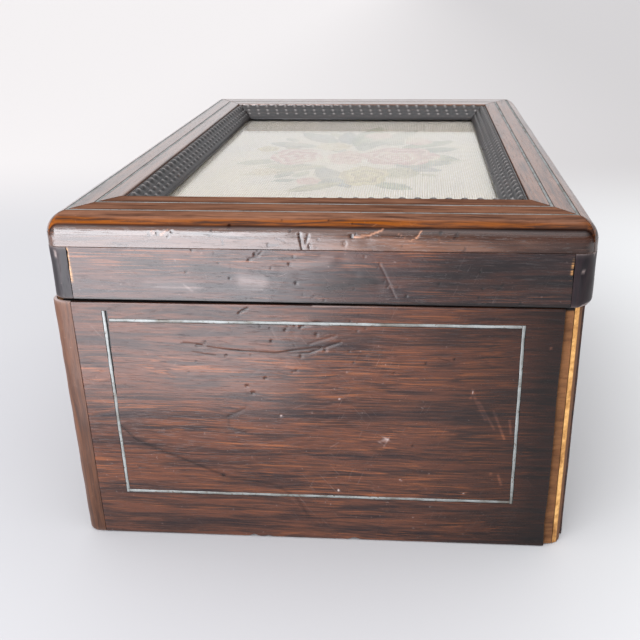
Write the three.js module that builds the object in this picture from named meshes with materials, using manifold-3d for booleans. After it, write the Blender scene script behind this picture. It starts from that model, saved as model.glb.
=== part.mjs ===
// A rosewood box with a lift-off lid. Canvas work lies under glass in the lid, inside a rippled
// ebonised moulding, and pale metal strings are let into the lid's frame and the four sides.
// Millimetres, Z up, the front facing -Y, with the origin at the middle of the underside.

import * as THREE from 'three';
import { mergeVertices } from 'three/addons/utils/BufferGeometryUtils.js';
import Module from 'manifold-3d';

const wasm = await Module();
wasm.setup();

// Overall sizes of the base
const baseWidth = 200;
const baseDepth = 282;
const baseHeight = 104.6;

// Boards, veneers and the room left between pieces that touch
const joint = 0.3;
const wallThickness = 10;
const veneerThickness = 1.2;
const bottomThickness = 6;
const lapThickness = 5.1;

// Corner beads and the planed seat they are glued to, as distances in from the two outer faces
const beadWidth = 8.7;
const beadRadius = 6.2;
const seatKneeSetback = 2;
const seatShoulder = [2.9, 3.1];
const seatHeelSetback = 5.6;
const wornEndRadius = 2.6;

// The lid's height over all, how it sits on the base, and the tongue that holds it in place
const lidHeight = 32.4;
const lidGapLeft = 1.3;
const lidGapRight = 0.7;
const lidShift = 1.5;
const tongueThickness = 3;
const rebateDepth = 4.5;

// The lid's mitred frame: its opening lies further in from the ends than from the sides
const frameThickness = 12;
const frameRoundOver = 8.5;
const frameSideWidth = 22;
const frameEndWidth = 27.4;

// Strings: a flat strip that lies in a groove
const stringWidth = 1;
const panelStringWidth = 1.2;
const stringThickness = 0.6;
const stringPlay = 0.1;
const frameStringsSide = { outer: 7.5, inner: 15 };
const frameStringsEnd = { outer: 8, inner: 18.4 };
const panelStringBottom = 20.8;
const panelStringTopMargin = 7.2;
const panelStringMargin = 21.75;
const frontStringShift = -1.15;

// The string that has sprung at the left of the front, and the gap it has opened
const sprungOverrun = 3.2;
const sprungGap = 0.9;
const sprungFrom = 62;

// Veneer lost beside the lid's front beads
const lossLeft = { width: 1.6, height: 9.5, top: 0.6 };
const lossRight = { width: 0.9, height: 7.5, top: 4.5 };

// Rippled moulding round the opening, and what lies under it
const rippleWidth = 8.6;
const ripplePitch = 5.93;
const rippleSwing = 0.7;
const rippleFall = 7.2;
const rippleFoot = 8.3;
const glassThickness = 2;
const canvasThickness = 1;
const backingThickness = 3;

// Sizes that follow from the ones above
const halfWidth = baseWidth / 2;
const halfDepth = baseDepth / 2;
const skin = veneerThickness + joint;
const grooveDepth = stringThickness + 2 * stringPlay;
const lidWallHeight = lidHeight - frameThickness - joint;
const lidTilt = Math.atan((lidGapLeft - lidGapRight) / baseWidth);
const lidLift = baseHeight + (lidGapLeft + lidGapRight) / 2;
const tongueSetback = wallThickness - tongueThickness;
const rebateSetback = tongueSetback - lidShift - joint;
const openingHalfX = halfWidth - frameSideWidth;
const openingHalfY = halfDepth - frameEndWidth;
const reach = 2 * wallThickness;

// Finishes
const finishes = {
  rosewood: { color: 0x6a3a2c, roughness: 0.4, metalness: 0 },
  ebonised: { color: 0x2a2226, roughness: 0.35, metalness: 0 },
  carcass: { color: 0xb48252, roughness: 0.75, metalness: 0 },
  string: { color: 0xa9b4ad, roughness: 0.45, metalness: 0.8 },
  glass: { color: 0xe6efec, roughness: 0.05, metalness: 0, transparent: true, opacity: 0.25 },
  canvas: { color: 0xd9cfb4, roughness: 0.95, metalness: 0 },
};

// A closed solid from any closed geometry
function solidFrom(geometry) {
  const bare = geometry.index ? geometry.toNonIndexed() : geometry.clone();
  bare.deleteAttribute('normal');
  bare.deleteAttribute('uv');
  const merged = mergeVertices(bare, 1e-5);
  const mesh = new wasm.Mesh({
    numProp: 3,
    vertProperties: new Float32Array(merged.attributes.position.array),
    triVerts: new Uint32Array(merged.index.array),
  });
  return new wasm.Manifold(mesh);
}

// A geometry from a solid
function geometryFrom(solid) {
  const mesh = solid.getMesh();
  const geometry = new THREE.BufferGeometry();
  geometry.setAttribute('position', new THREE.BufferAttribute(new Float32Array(mesh.vertProperties), 3));
  geometry.setIndex(new THREE.BufferAttribute(new Uint32Array(mesh.triVerts), 1));
  geometry.computeVertexNormals();
  return geometry;
}

// A solid cuboid between two corners
function block(low, high) {
  const size = high.map((value, axis) => value - low[axis]);
  const geometry = new THREE.BoxGeometry(...size);
  geometry.translate(...high.map((value, axis) => (value + low[axis]) / 2));
  return solidFrom(geometry);
}

// A solid prism that stands on a plan outline
function prism(outline, bottom, top) {
  const shape = new THREE.Shape(outline.map(([x, y]) => new THREE.Vector2(x, y)));
  const geometry = new THREE.ExtrudeGeometry(shape, { depth: top - bottom, bevelEnabled: false });
  geometry.translate(0, 0, bottom);
  return solidFrom(geometry);
}

// A solid from closed rings of equal length, stacked from the lowest up
function loft(rings) {
  const count = rings[0].length;
  const positions = rings.flat().flat();
  const triangles = [];
  for (let level = 0; level + 1 < rings.length; level += 1) {
    for (let i = 0; i < count; i += 1) {
      const next = (i + 1) % count;
      const low = level * count;
      const high = low + count;
      triangles.push(low + i, low + next, high + next);
      triangles.push(low + i, high + next, high + i);
    }
  }
  const last = (rings.length - 1) * count;
  for (let i = 1; i + 1 < count; i += 1) {
    triangles.push(0, i + 1, i);
    triangles.push(last, last + i, last + i + 1);
  }
  const geometry = new THREE.BufferGeometry();
  geometry.setAttribute('position', new THREE.Float32BufferAttribute(positions, 3));
  geometry.setIndex(triangles);
  return solidFrom(geometry);
}

// A named mesh of a solid in a finish
function piece(name, solid, finish) {
  const mesh = new THREE.Mesh(geometryFrom(solid), new THREE.MeshStandardMaterial(finishes[finish]));
  mesh.name = name;
  return mesh;
}

// The four sides: where each stands, and the half lengths along it and out to its face
const sides = [
  { name: 'front', turn: 0, along: halfWidth, out: halfDepth, end: true },
  { name: 'right', turn: 90, along: halfDepth, out: halfWidth, end: false },
  { name: 'back', turn: 180, along: halfWidth, out: halfDepth, end: true },
  { name: 'left', turn: 270, along: halfDepth, out: halfWidth, end: false },
];

// A solid made as the front one, turned to stand on its own side
function onSide(side, solid) {
  return solid.rotate([0, 0, side.turn]);
}

// How far in the seat lies from one face at a distance from the other
function seatSetback(distance) {
  const [shoulderX, shoulderY] = seatShoulder;
  const slope = (shoulderY - seatKneeSetback) / (lapThickness - shoulderX);
  return seatKneeSetback + (lapThickness - distance) * slope;
}

// An outline that is alike on both sides, from the points of its right half
function bothHalves(half) {
  return [...half.map(([x, y]) => [-x, y]), ...half.slice().reverse()];
}

// Plan of an end board, whose ends lap over the side boards
function endBoardPlan(along, out) {
  const half = [
    [along - lapThickness, -out + wallThickness],
    [along - lapThickness, -out + seatKneeSetback],
    [along - beadWidth, -out + skin],
  ];
  return bothHalves(half);
}

// Plan of a side board, whose ends are rebated behind the end boards
function sideBoardPlan(along, out) {
  const lapFace = lapThickness - joint;
  const half = [
    [along - wallThickness - joint, -out + wallThickness],
    [along - wallThickness - joint, -out + lapFace],
    [along - seatSetback(lapFace), -out + lapFace],
    [along - seatShoulder[1], -out + seatShoulder[0]],
    [along - seatHeelSetback, -out + skin],
  ];
  return bothHalves(half);
}

// A board of the base, with the tongue that stands up inside the lid
function baseBoard(side) {
  const plan = side.end ? endBoardPlan(side.along, side.out) : sideBoardPlan(side.along, side.out);
  const gap = side.name === 'left' ? lidGapLeft : lidGapRight;
  const rise = gap + rebateDepth - joint;
  const half = side.end ? side.along - tongueSetback : side.along - wallThickness - joint;
  const tongue = block(
    [-half, -side.out + tongueSetback, baseHeight - rise],
    [half, -side.out + wallThickness, baseHeight + rise],
  );
  return onSide(side, prism(plan, 0, baseHeight).add(tongue));
}

// A board of the lid, rebated inside to pass over the tongue
function lidBoard(side) {
  const plan = side.end ? endBoardPlan(side.along, side.out) : sideBoardPlan(side.along, side.out);
  const rebate = block(
    [-side.along + rebateSetback, -side.out + rebateSetback, -joint],
    [side.along - rebateSetback, -side.out + reach, rebateDepth],
  );
  return onSide(side, prism(plan, 0, lidWallHeight).subtract(rebate));
}

// A plain sheet of veneer between two corner beads
function veneerSheet(side, height) {
  const half = side.along - beadWidth;
  return block([-half, -side.out, 0], [half, -side.out + veneerThickness, height]);
}

// The four strips of a panel's string, each as its corners on the face: left, bottom, right, top
function panelStrips(side) {
  const half = panelStringWidth / 2;
  const play = half + stringPlay;
  const sprung = side.name === 'front';
  const shift = sprung ? frontStringShift : 0;
  const left = shift - side.along + panelStringMargin;
  const right = shift + side.along - panelStringMargin;
  const bottom = panelStringBottom;
  const top = baseHeight - panelStringTopMargin;
  const leftTop = sprung ? top + sprungOverrun : top;
  const topStart = sprung ? left + play + sprungGap + 3 * stringPlay : left + play;
  return {
    left: [left - half, bottom - half, left + half, leftTop + half],
    right: [right - half, bottom - half, right + half, top + half],
    top: [topStart, top - half, right - play, top + half],
    bottom: [left + play, bottom - half, right - play, bottom + half],
  };
}

// A veneered panel of the base with the grooves for its string
function basePanel(side) {
  const face = -side.out;
  let panel = veneerSheet(side, baseHeight);
  for (const [left, bottom, right, top] of Object.values(panelStrips(side))) {
    const groove = block(
      [left - stringPlay, face - joint, bottom - stringPlay],
      [right + stringPlay, face + grooveDepth, top + stringPlay],
    );
    panel = panel.subtract(groove);
  }
  if (side.name === 'front') {
    const [, , right, top] = panelStrips(side).left;
    const opened = prism([[0, sprungFrom], [sprungGap, top], [-stringPlay, top], [-stringPlay, sprungFrom]], 0, 1)
      .scale([1, 1, grooveDepth + joint])
      .rotate([90, 0, 0])
      .translate([right + stringPlay, face + grooveDepth, 0]);
    panel = panel.subtract(opened);
  }
  return onSide(side, panel);
}

// One strip of a panel's string, a little below the face
function panelString(side, [left, bottom, right, top]) {
  const front = -side.out + stringPlay;
  return onSide(side, block([left, front, bottom], [right, front + stringThickness, top]));
}

// A sheet of the lid's veneer, with what is lost beside the front beads
function lidPanel(side) {
  let panel = veneerSheet(side, lidWallHeight);
  if (side.name === 'front') {
    const half = side.along - beadWidth;
    const face = -side.out;
    for (const [loss, sign] of [[lossLeft, -1], [lossRight, 1]]) {
      const xs = [sign * (half - loss.width), sign * (half + joint)].sort((a, b) => a - b);
      const top = lidWallHeight - loss.top;
      const notch = block([xs[0], face - joint, top - loss.height], [xs[1], face + skin, top]);
      panel = panel.subtract(notch);
    }
  }
  return onSide(side, panel);
}

// A corner bead at the front right, with its round outside and the seat's shape inside
function cornerBead(height) {
  const edge = beadWidth - joint;
  const arcSteps = 8;
  const outline = [[edge, 0]];
  for (let i = 0; i <= arcSteps; i += 1) {
    const angle = (i / arcSteps) * Math.PI / 2;
    outline.push([beadRadius * (1 - Math.sin(angle)), beadRadius * (1 - Math.cos(angle))]);
  }
  outline.push([0, edge]);
  outline.push([skin - joint, edge]);
  outline.push([skin - joint, seatHeelSetback - joint]);
  outline.push([seatShoulder[0] - joint, seatShoulder[1] - joint]);
  outline.push([lapThickness - joint, seatKneeSetback - joint]);
  outline.push([edge, skin - joint]);
  return prism(outline.map(([u, v]) => [-u, v]).reverse(), 0, height);
}

// The bead with its lower outer end worn round
function wornBead(height) {
  const steps = 6;
  const outline = [[0, 0]];
  for (let i = 0; i <= steps; i += 1) {
    const angle = (i / steps) * Math.PI / 2;
    outline.push([wornEndRadius * (1 - Math.cos(angle)), wornEndRadius * (1 - Math.sin(angle))]);
  }
  const lost = prism(outline.map(([u, v]) => [-u, v]).reverse(), -reach, reach)
    .rotate([90, 0, 0])
    .rotate([0, 0, -45])
    .translate([-beadRadius * (1 - Math.SQRT1_2), beadRadius * (1 - Math.SQRT1_2), 0]);
  return cornerBead(height).subtract(lost);
}

// The four corners: which half of the width and depth each is on
const corners = [
  { name: 'front_right', x: 1, y: -1 },
  { name: 'back_right', x: 1, y: 1 },
  { name: 'back_left', x: -1, y: 1 },
  { name: 'front_left', x: -1, y: -1 },
];

// A solid made at the front right corner, set at another
function atCorner(corner, solid) {
  const flips = [[corner.x < 0, [1, 0, 0]], [corner.y > 0, [0, 1, 0]]];
  let placed = solid;
  for (const [flip, normal] of flips) {
    placed = flip ? placed.mirror(normal) : placed;
  }
  return placed.translate([corner.x * halfWidth, corner.y * halfDepth, 0]);
}

// A closed ring of points round a rectangle with round corners
function roundedRing(halfX, halfY, radius, z) {
  const steps = 6;
  const ring = [];
  for (let quarter = 0; quarter < 4; quarter += 1) {
    const signX = quarter === 0 || quarter === 3 ? 1 : -1;
    const signY = quarter < 2 ? 1 : -1;
    for (let i = 0; i <= steps; i += 1) {
      const angle = (quarter + i / steps) * Math.PI / 2;
      const x = signX * (halfX - radius) + radius * Math.cos(angle);
      const y = signY * (halfY - radius) + radius * Math.sin(angle);
      ring.push([x, y, z]);
    }
  }
  return ring;
}

// The frame before it is cut into members: a slab with its upper edge rounded over
function frameSlab() {
  const steps = 8;
  const smallest = joint;
  const rings = [roundedRing(halfWidth, halfDepth, beadRadius, 0)];
  for (let i = 0; i <= steps; i += 1) {
    const angle = (i / steps) * Math.PI / 2;
    const inset = frameRoundOver * (1 - Math.cos(angle));
    const z = frameThickness - frameRoundOver * (1 - Math.sin(angle));
    const radius = Math.max(beadRadius - inset, smallest);
    rings.push(roundedRing(halfWidth - inset, halfDepth - inset, radius, z));
  }
  return loft(rings);
}

// The strips of the frame's two strings, as their corners in plan
function frameStrips() {
  const strips = [];
  const half = stringWidth / 2;
  for (const row of ['outer', 'inner']) {
    const x = halfWidth - frameStringsSide[row];
    const y = halfDepth - frameStringsEnd[row];
    const end = x - half - stringPlay;
    strips.push({ name: `lid_right_${row}_string`, low: [x - half, -y - half], high: [x + half, y + half] });
    strips.push({ name: `lid_left_${row}_string`, low: [-x - half, -y - half], high: [-x + half, y + half] });
    strips.push({ name: `lid_front_${row}_string`, low: [-end, -y - half], high: [end, -y + half] });
    strips.push({ name: `lid_back_${row}_string`, low: [-end, y - half], high: [end, y + half] });
  }
  return strips;
}

// Height of the frame's upper face at a distance in from its edge
function frameTopAt(inset) {
  const short = Math.max(frameRoundOver - inset, 0);
  return frameThickness - frameRoundOver + Math.sqrt(frameRoundOver ** 2 - short ** 2);
}

// How far in from the nearest edge a strip of the frame's string lies
function stripInset({ low, high }) {
  const x = halfWidth - Math.abs(low[0] + high[0]) / 2;
  const y = halfDepth - Math.abs(low[1] + high[1]) / 2;
  return Math.min(x, y) - stringWidth / 2;
}

// A member of the mitred frame: the slab inside the two mitre lines of its side
function frameMember(side, slab) {
  const wide = side.end ? frameSideWidth : frameEndWidth;
  const deep = side.end ? frameEndWidth : frameSideWidth;
  const length = Math.hypot(wide, deep);
  const over = wallThickness / length;
  const shiftX = (deep / length) * (joint / 2);
  const shiftY = (wide / length) * (joint / 2);
  const outer = [side.along + wide * over - shiftX, -side.out - deep * over - shiftY];
  const inner = [side.along - wide * (1 + over) - shiftX, -side.out + deep * (1 + over) - shiftY];
  const outline = [[-outer[0], outer[1]], outer, inner, [-inner[0], inner[1]]];
  return slab.intersect(onSide(side, prism(outline, -joint, frameThickness + joint)));
}

// The moulding's upper outline: the distance in from the opening, the height, and its share of the
// swing of the ripples
function rippleOutline() {
  const w = rippleWidth;
  const fall = rippleFall;
  return [
    [joint, -0.11 * fall, 0],
    [0.12 * w, -0.09 * fall, 0],
    [0.29 * w, -0.03 * fall, 1],
    [0.5 * w, -0.42 * fall, 0],
    [0.66 * w, -0.54 * fall, 0.7],
    [0.84 * w, -0.84 * fall, 0],
    [w, -fall, 0],
  ];
}

// A rippled moulding along the front of the opening, with mitred ends
function rippleMoulding(along, out) {
  const outline = rippleOutline();
  const waves = Math.round((2 * along) / ripplePitch);
  const samples = 2 * waves;
  const step = (2 * along) / samples;
  const points = [];
  for (let j = 0; j <= samples; j += 1) {
    const swing = (j % 2 === 0 ? 0.5 : -0.5) * rippleSwing;
    for (const [inset, height, share] of outline) {
      points.push([-along + j * step, -out + inset, frameThickness + height + swing * share]);
    }
  }
  const foot = frameThickness - rippleFoot;
  const first = points.length;
  points.push([-along, -out + joint, foot], [along, -out + joint, foot]);
  points.push([along, -out + rippleWidth, foot], [-along, -out + rippleWidth, foot]);
  const row = outline.length;
  const end = samples * row;
  const triangles = [first, first + 2, first + 1, first, first + 3, first + 2];
  for (let j = 0; j < samples; j += 1) {
    for (let i = 0; i + 1 < row; i += 1) {
      const here = j * row + i;
      triangles.push(here, here + row, here + row + 1);
      triangles.push(here, here + row + 1, here + 1);
    }
    triangles.push(first, (j + 1) * row, j * row);
    triangles.push(first + 3, j * row + row - 1, (j + 1) * row + row - 1);
  }
  triangles.push(first, first + 1, end);
  triangles.push(first + 3, end + row - 1, first + 2);
  for (let i = 0; i + 1 < row; i += 1) {
    triangles.push(first, i, i + 1);
    triangles.push(first + 1, end + i + 1, end + i);
  }
  triangles.push(first, row - 1, first + 3);
  triangles.push(first + 1, first + 2, end + row - 1);
  const geometry = new THREE.BufferGeometry();
  geometry.setAttribute('position', new THREE.Float32BufferAttribute(points.flat(), 3));
  geometry.setIndex(triangles);
  const gap = joint * Math.SQRT1_2;
  const outer = [along - gap, -out];
  const inner = [along - gap - rippleWidth - joint, -out + rippleWidth + joint];
  const mitres = prism([[-outer[0], outer[1]], outer, inner, [-inner[0], inner[1]]], 0, reach);
  return solidFrom(geometry).intersect(mitres);
}

// The base: bottom, boards, veneered panels, strings and the three beads that are left
function makeBase() {
  const base = new THREE.Group();
  const floorX = halfWidth - wallThickness - joint;
  const floorY = halfDepth - wallThickness - joint;
  const floor = block([-floorX, -floorY, 0], [floorX, floorY, bottomThickness]);
  base.add(piece('base_bottom_board', floor, 'carcass'));
  for (const side of sides) {
    base.add(piece(`base_${side.name}_board`, baseBoard(side), 'carcass'));
    base.add(piece(`base_${side.name}_panel`, basePanel(side), 'rosewood'));
    for (const [edge, corners4] of Object.entries(panelStrips(side))) {
      base.add(piece(`base_${side.name}_${edge}_string`, panelString(side, corners4), 'string'));
    }
  }
  for (const corner of corners.filter(({ name }) => name !== 'front_right')) {
    const bead = atCorner(corner, cornerBead(baseHeight));
    base.add(piece(`base_${corner.name}_bead`, bead, 'ebonised'));
  }
  return base;
}

// The lid: boards, veneers, beads, mitred frame with its strings, and the glazed canvas work
function makeLid() {
  const lid = new THREE.Group();
  for (const side of sides) {
    lid.add(piece(`lid_${side.name}_board`, lidBoard(side), 'carcass'));
    lid.add(piece(`lid_${side.name}_panel`, lidPanel(side), 'rosewood'));
  }
  for (const corner of corners) {
    const shape = corner.name === 'front_right' ? wornBead(lidWallHeight) : cornerBead(lidWallHeight);
    lid.add(piece(`lid_${corner.name}_bead`, atCorner(corner, shape), 'ebonised'));
  }
  const top = new THREE.Group();
  top.position.z = lidHeight - frameThickness;
  lid.add(top);
  let slab = frameSlab();
  const opening = [openingHalfX, openingHalfY];
  slab = slab.subtract(block([-opening[0], -opening[1], -joint], [...opening, reach]));
  for (const strip of frameStrips()) {
    const level = frameTopAt(stripInset(strip)) - stringPlay;
    const low = strip.low.map((value) => value - stringPlay);
    const high = strip.high.map((value) => value + stringPlay);
    slab = slab.subtract(block([...low, level - grooveDepth], [...high, reach]));
    const solid = block([...strip.low, level - stringThickness], [...strip.high, level]);
    top.add(piece(strip.name, solid, 'string'));
  }
  for (const side of sides) {
    top.add(piece(`lid_${side.name}_frame`, frameMember(side, slab), 'rosewood'));
    const [along, out] = side.end ? opening : [opening[1], opening[0]];
    const ripple = onSide(side, rippleMoulding(along - joint, out));
    top.add(piece(`lid_${side.name}_ripple_moulding`, ripple, 'ebonised'));
  }
  const paneX = openingHalfX - joint;
  const paneY = openingHalfY - joint;
  const glassTop = frameThickness - rippleFoot - joint;
  const canvasTop = glassTop - glassThickness - joint;
  const glass = block([-paneX, -paneY, glassTop - glassThickness], [paneX, paneY, glassTop]);
  top.add(piece('lid_glass_pane', glass, 'glass'));
  const canvas = block([-paneX, -paneY, canvasTop - canvasThickness], [paneX, paneY, canvasTop]);
  top.add(piece('lid_needlepoint_canvas', canvas, 'canvas'));
  const boardX = halfWidth - wallThickness - joint;
  const boardY = halfDepth - wallThickness - joint;
  const boardTop = Math.min(canvasTop - canvasThickness, 0) - joint;
  const backing = block([-boardX, -boardY, boardTop - backingThickness], [boardX, boardY, boardTop]);
  top.add(piece('lid_backing_board', backing, 'carcass'));
  lid.rotation.y = lidTilt;
  lid.position.set(lidShift, 0, lidLift);
  return lid;
}

const needlepointBox = new THREE.Group();
needlepointBox.add(makeBase(), makeLid());

export default needlepointBox;
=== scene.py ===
"""Dressed scene of a rosewood needlepoint box with a lift-off lid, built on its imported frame."""

import logging
import math
from collections.abc import Sequence
from dataclasses import dataclass, field, replace
from enum import Enum
from functools import cache

import bmesh
import bpy
import numpy as np
from mathutils import Matrix, Vector


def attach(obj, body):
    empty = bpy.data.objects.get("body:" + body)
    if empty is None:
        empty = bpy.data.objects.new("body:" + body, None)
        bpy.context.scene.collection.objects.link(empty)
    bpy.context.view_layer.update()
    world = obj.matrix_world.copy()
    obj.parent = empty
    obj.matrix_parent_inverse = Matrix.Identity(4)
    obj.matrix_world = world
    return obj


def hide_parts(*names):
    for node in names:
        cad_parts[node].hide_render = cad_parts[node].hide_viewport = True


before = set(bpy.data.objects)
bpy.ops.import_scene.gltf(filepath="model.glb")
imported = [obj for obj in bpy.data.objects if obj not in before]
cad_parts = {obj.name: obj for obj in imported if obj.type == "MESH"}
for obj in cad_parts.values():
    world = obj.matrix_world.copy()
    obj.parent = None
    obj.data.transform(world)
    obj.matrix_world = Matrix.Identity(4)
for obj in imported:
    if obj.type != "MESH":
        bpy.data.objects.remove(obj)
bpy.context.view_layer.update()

MM = 0.001
BODY = "root"
LOG = logging.getLogger("needlepoint_box")
Socket = bpy.types.NodeSocket
Pair = tuple[float, float]
Triple = tuple[float, float, float]
Four = tuple[float, float, float, float]


class Side(Enum):
    """The four sides of the box, in the order in which a quarter turn brings the front to them."""

    FRONT = "front"
    RIGHT = "right"
    BACK = "back"
    LEFT = "left"

    @property
    def number(self) -> int:
        """Its place in that order, with 0 for the front."""
        return list(Side).index(self)

    @property
    def turn(self) -> float:
        """Angle about Z from the front to this side."""
        return math.radians(90 * self.number)

    @property
    def is_end(self) -> bool:
        """True for the front and the back, which run across the box."""
        return self in (Side.FRONT, Side.BACK)


class Grain(Enum):
    """The direction of the wood's grain, as turns that bring it to X."""

    ALONG_X = (0.0, 0.0, 0.0)
    ALONG_Y = (0.0, 0.0, math.pi / 2)
    ALONG_Z = (0.0, math.pi / 2, 0.0)

    @classmethod
    def of(cls, side: Side) -> "Grain":
        """The direction that runs level along a side of the box."""
        return cls.ALONG_X if side.is_end else cls.ALONG_Y


@dataclass(frozen=True)
class BoxSizes:
    """The few sizes that the pieces are worked out from, in millimetres."""

    half_width: float = 100.0
    half_depth: float = 141.0
    base_height: float = 104.6
    joint: float = 0.3
    veneer: float = 1.2
    lap: float = 5.1
    bead_width: float = 8.7
    bead_radius: float = 6.2
    seat_knee: float = 2.0
    seat_shoulder: Pair = (2.9, 3.1)
    seat_heel: float = 5.6
    lid_height: float = 32.4
    lid_gap: float = 1.0
    lid_drop: float = 0.6
    lid_shift: float = 1.5
    frame_thickness: float = 12.0
    frame_round: float = 8.5
    frame_side: float = 22.0
    frame_end: float = 27.4
    end_strings: Pair = (8.0, 18.4)
    side_strings: Pair = (7.5, 15.0)
    mitre_knee: float = 7.75
    string_width: float = 1.0
    panel_string_width: float = 1.2
    string_play: float = 0.1
    groove_depth: float = 0.8
    ripple_width: float = 8.6
    ripple_pitch: float = 5.93
    ripple_fall: float = 7.2
    ripple_foot: float = 8.3
    glass: float = 2.0
    canvas: float = 1.0

    @property
    def lid_wall(self) -> float:
        """Height of the lid's walls, under the frame."""
        return self.lid_height - self.frame_thickness - self.joint

    @property
    def frame_foot(self) -> float:
        """Height of the frame's underside in the lid."""
        return self.lid_height - self.frame_thickness

    @property
    def canvas_foot(self) -> float:
        """Height of the canvas's underside in the lid."""
        return self.lid_height - self.ripple_foot - self.glass - self.canvas - 2 * self.joint

    @property
    def opening(self) -> Pair:
        """Half width and half depth of the opening in the frame."""
        return self.half_width - self.frame_side, self.half_depth - self.frame_end

    def along(self, side: Side) -> float:
        """Half length of a side."""
        return self.half_width if side.is_end else self.half_depth

    def out(self, side: Side) -> float:
        """Distance from the middle to a side's face."""
        return self.half_depth if side.is_end else self.half_width


SIZES = BoxSizes()


@dataclass(frozen=True)
class Seat:
    """Where a group of pieces sits: a tilt about Y, a shift to the right and a lift."""

    tilt: float = 0.0
    shift: float = 0.0
    lift: float = 0.0

    def place(self, points: np.ndarray, side: Side = Side.FRONT) -> np.ndarray:
        """Turn points that were made for the front to a side and set them on this seat.

        Args:
            points: Points in millimetres, one row each.
            side: The side that they belong to.

        Returns:
            The points in metres, in the frame of the whole object.
        """
        cos, sin = math.cos(side.turn), math.sin(side.turn)
        x = points[:, 0] * cos - points[:, 1] * sin
        y = points[:, 0] * sin + points[:, 1] * cos
        z = points[:, 2]
        cos, sin = math.cos(self.tilt), math.sin(self.tilt)
        placed = np.stack([x * cos + z * sin + self.shift, y, z * cos - x * sin + self.lift], axis=1)
        return placed * MM


BASE_SEAT = Seat()
LID_SEAT = Seat(
    tilt=math.atan(SIZES.lid_drop / (2 * SIZES.half_width)),
    shift=SIZES.lid_shift,
    lift=SIZES.base_height + SIZES.lid_gap,
)


def linear(red: int, green: int, blue: int) -> Four:
    """Turn a colour on the usual 0 to 255 scale into the linear values that shaders take.

    Args:
        red: Red, 0 to 255.
        green: Green, 0 to 255.
        blue: Blue, 0 to 255.

    Returns:
        Linear red, green and blue, and an alpha of one.
    """
    parts = []
    for value in (red, green, blue):
        share = value / 255
        parts.append(share / 12.92 if share <= 0.04045 else ((share + 0.055) / 1.055) ** 2.4)
    return parts[0], parts[1], parts[2], 1.0


def tints(*colours: tuple[int, int, int]) -> tuple[Four, ...]:
    """Turn several colours on the usual 0 to 255 scale into linear ones."""
    return tuple(linear(*colour) for colour in colours)


@dataclass
class NodeBench:
    """A short way to set out the nodes of one material."""

    tree: bpy.types.NodeTree

    def add(self, kind: str, sockets: dict | None = None, **settings: object) -> bpy.types.Node:
        """Add a node.

        Args:
            kind: The node's type name.
            sockets: Values or linked outputs for its inputs, by name or number.
            settings: Values for its own properties.

        Returns:
            The new node.
        """
        node = self.tree.nodes.new(kind)
        for key, value in settings.items():
            setattr(node, key, value)
        self.feed(node, sockets or {})
        return node

    def feed(self, node: bpy.types.Node, sockets: dict) -> None:
        """Set or link a node's inputs.

        Args:
            node: The node.
            sockets: Values or linked outputs, by the inputs' names or numbers.
        """
        for key, value in sockets.items():
            if isinstance(value, Socket):
                self.tree.links.new(value, node.inputs[key])
            else:
                node.inputs[key].default_value = value

    def math(self, operation: str, *values: object) -> Socket:
        """Add a Math node and return its result."""
        node = self.add("ShaderNodeMath", dict(enumerate(values)), operation=operation)
        return node.outputs[0]

    def plus(self, first: object, second: object) -> Socket:
        """Add two numbers and return the sum."""
        return self.math("ADD", first, second)

    def times(self, first: object, second: object) -> Socket:
        """Multiply two numbers and return the product."""
        return self.math("MULTIPLY", first, second)

    def place(self) -> Socket:
        """Read the Object coordinates."""
        return self.add("ShaderNodeTexCoord").outputs["Object"]

    def axes(self, vector: Socket) -> bpy.types.bpy_prop_collection:
        """Part a vector into X, Y and Z."""
        return self.add("ShaderNodeSeparateXYZ", {0: vector}).outputs

    def layer(self, name: str) -> Socket:
        """Read a number that a mesh stores at its points."""
        return self.add("ShaderNodeAttribute", attribute_name=name).outputs["Fac"]

    def bump(self, height: object, strength: float, distance: float) -> Socket:
        """Turn a height into a bumped normal, with the bump's greatest height in metres."""
        sockets = {"Strength": strength, "Distance": distance, "Height": height}
        return self.add("ShaderNodeBump", sockets).outputs[0]

    def mix(self, share: object, first: object, second: object, blend: str = "MIX") -> Socket:
        """Mix two colours and return the result.

        Args:
            share: How much of the second shows.
            first: The first colour.
            second: The second colour.
            blend: The way of mixing.

        Returns:
            The mixed colour's socket.
        """
        sockets = {0: share, 6: first, 7: second}
        node = self.add("ShaderNodeMix", sockets, data_type="RGBA", blend_type=blend)
        return node.outputs[2]

    def ramp(self, share: object, stops: Sequence[tuple[float, tuple]]) -> Socket:
        """Add a colour ramp.

        Args:
            share: The value that is looked up.
            stops: Places and colours, from the lowest place up.

        Returns:
            The colour's socket.
        """
        node = self.add("ShaderNodeValToRGB", {0: share})
        elements = node.color_ramp.elements
        while len(elements) < len(stops):
            elements.new(0.5)
        for element, (place, colour) in zip(elements, stops):
            element.position = place
            element.color = colour
        return node.outputs[0]

    def band(self, value: object, low: float, high: float) -> Socket:
        """Spread a value from 0 at low to 1 at high, smoothly."""
        sockets = {0: value, 1: low, 2: high, 3: 0.0, 4: 1.0}
        return self.add("ShaderNodeMapRange", sockets, interpolation_type="SMOOTHSTEP").outputs[0]

    def noise(self, place: object, scale: float | Sequence[float], detail: float) -> Socket:
        """Add noise that can be stretched by its own scale on each axis.

        Args:
            place: The coordinates that it reads.
            scale: Its scale per metre, one for all or those along X, Y and Z.
            detail: How many finer layers it has.

        Returns:
            The noise, from 0 to 1.
        """
        spread = (scale,) * 3 if isinstance(scale, float) else tuple(scale)
        mapping = self.add("ShaderNodeMapping", {"Vector": place, "Scale": spread})
        sockets = {"Vector": mapping.outputs[0], "Scale": 1.0, "Detail": detail, "Roughness": 0.6}
        return self.add("ShaderNodeTexNoise", sockets).outputs[0]


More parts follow.
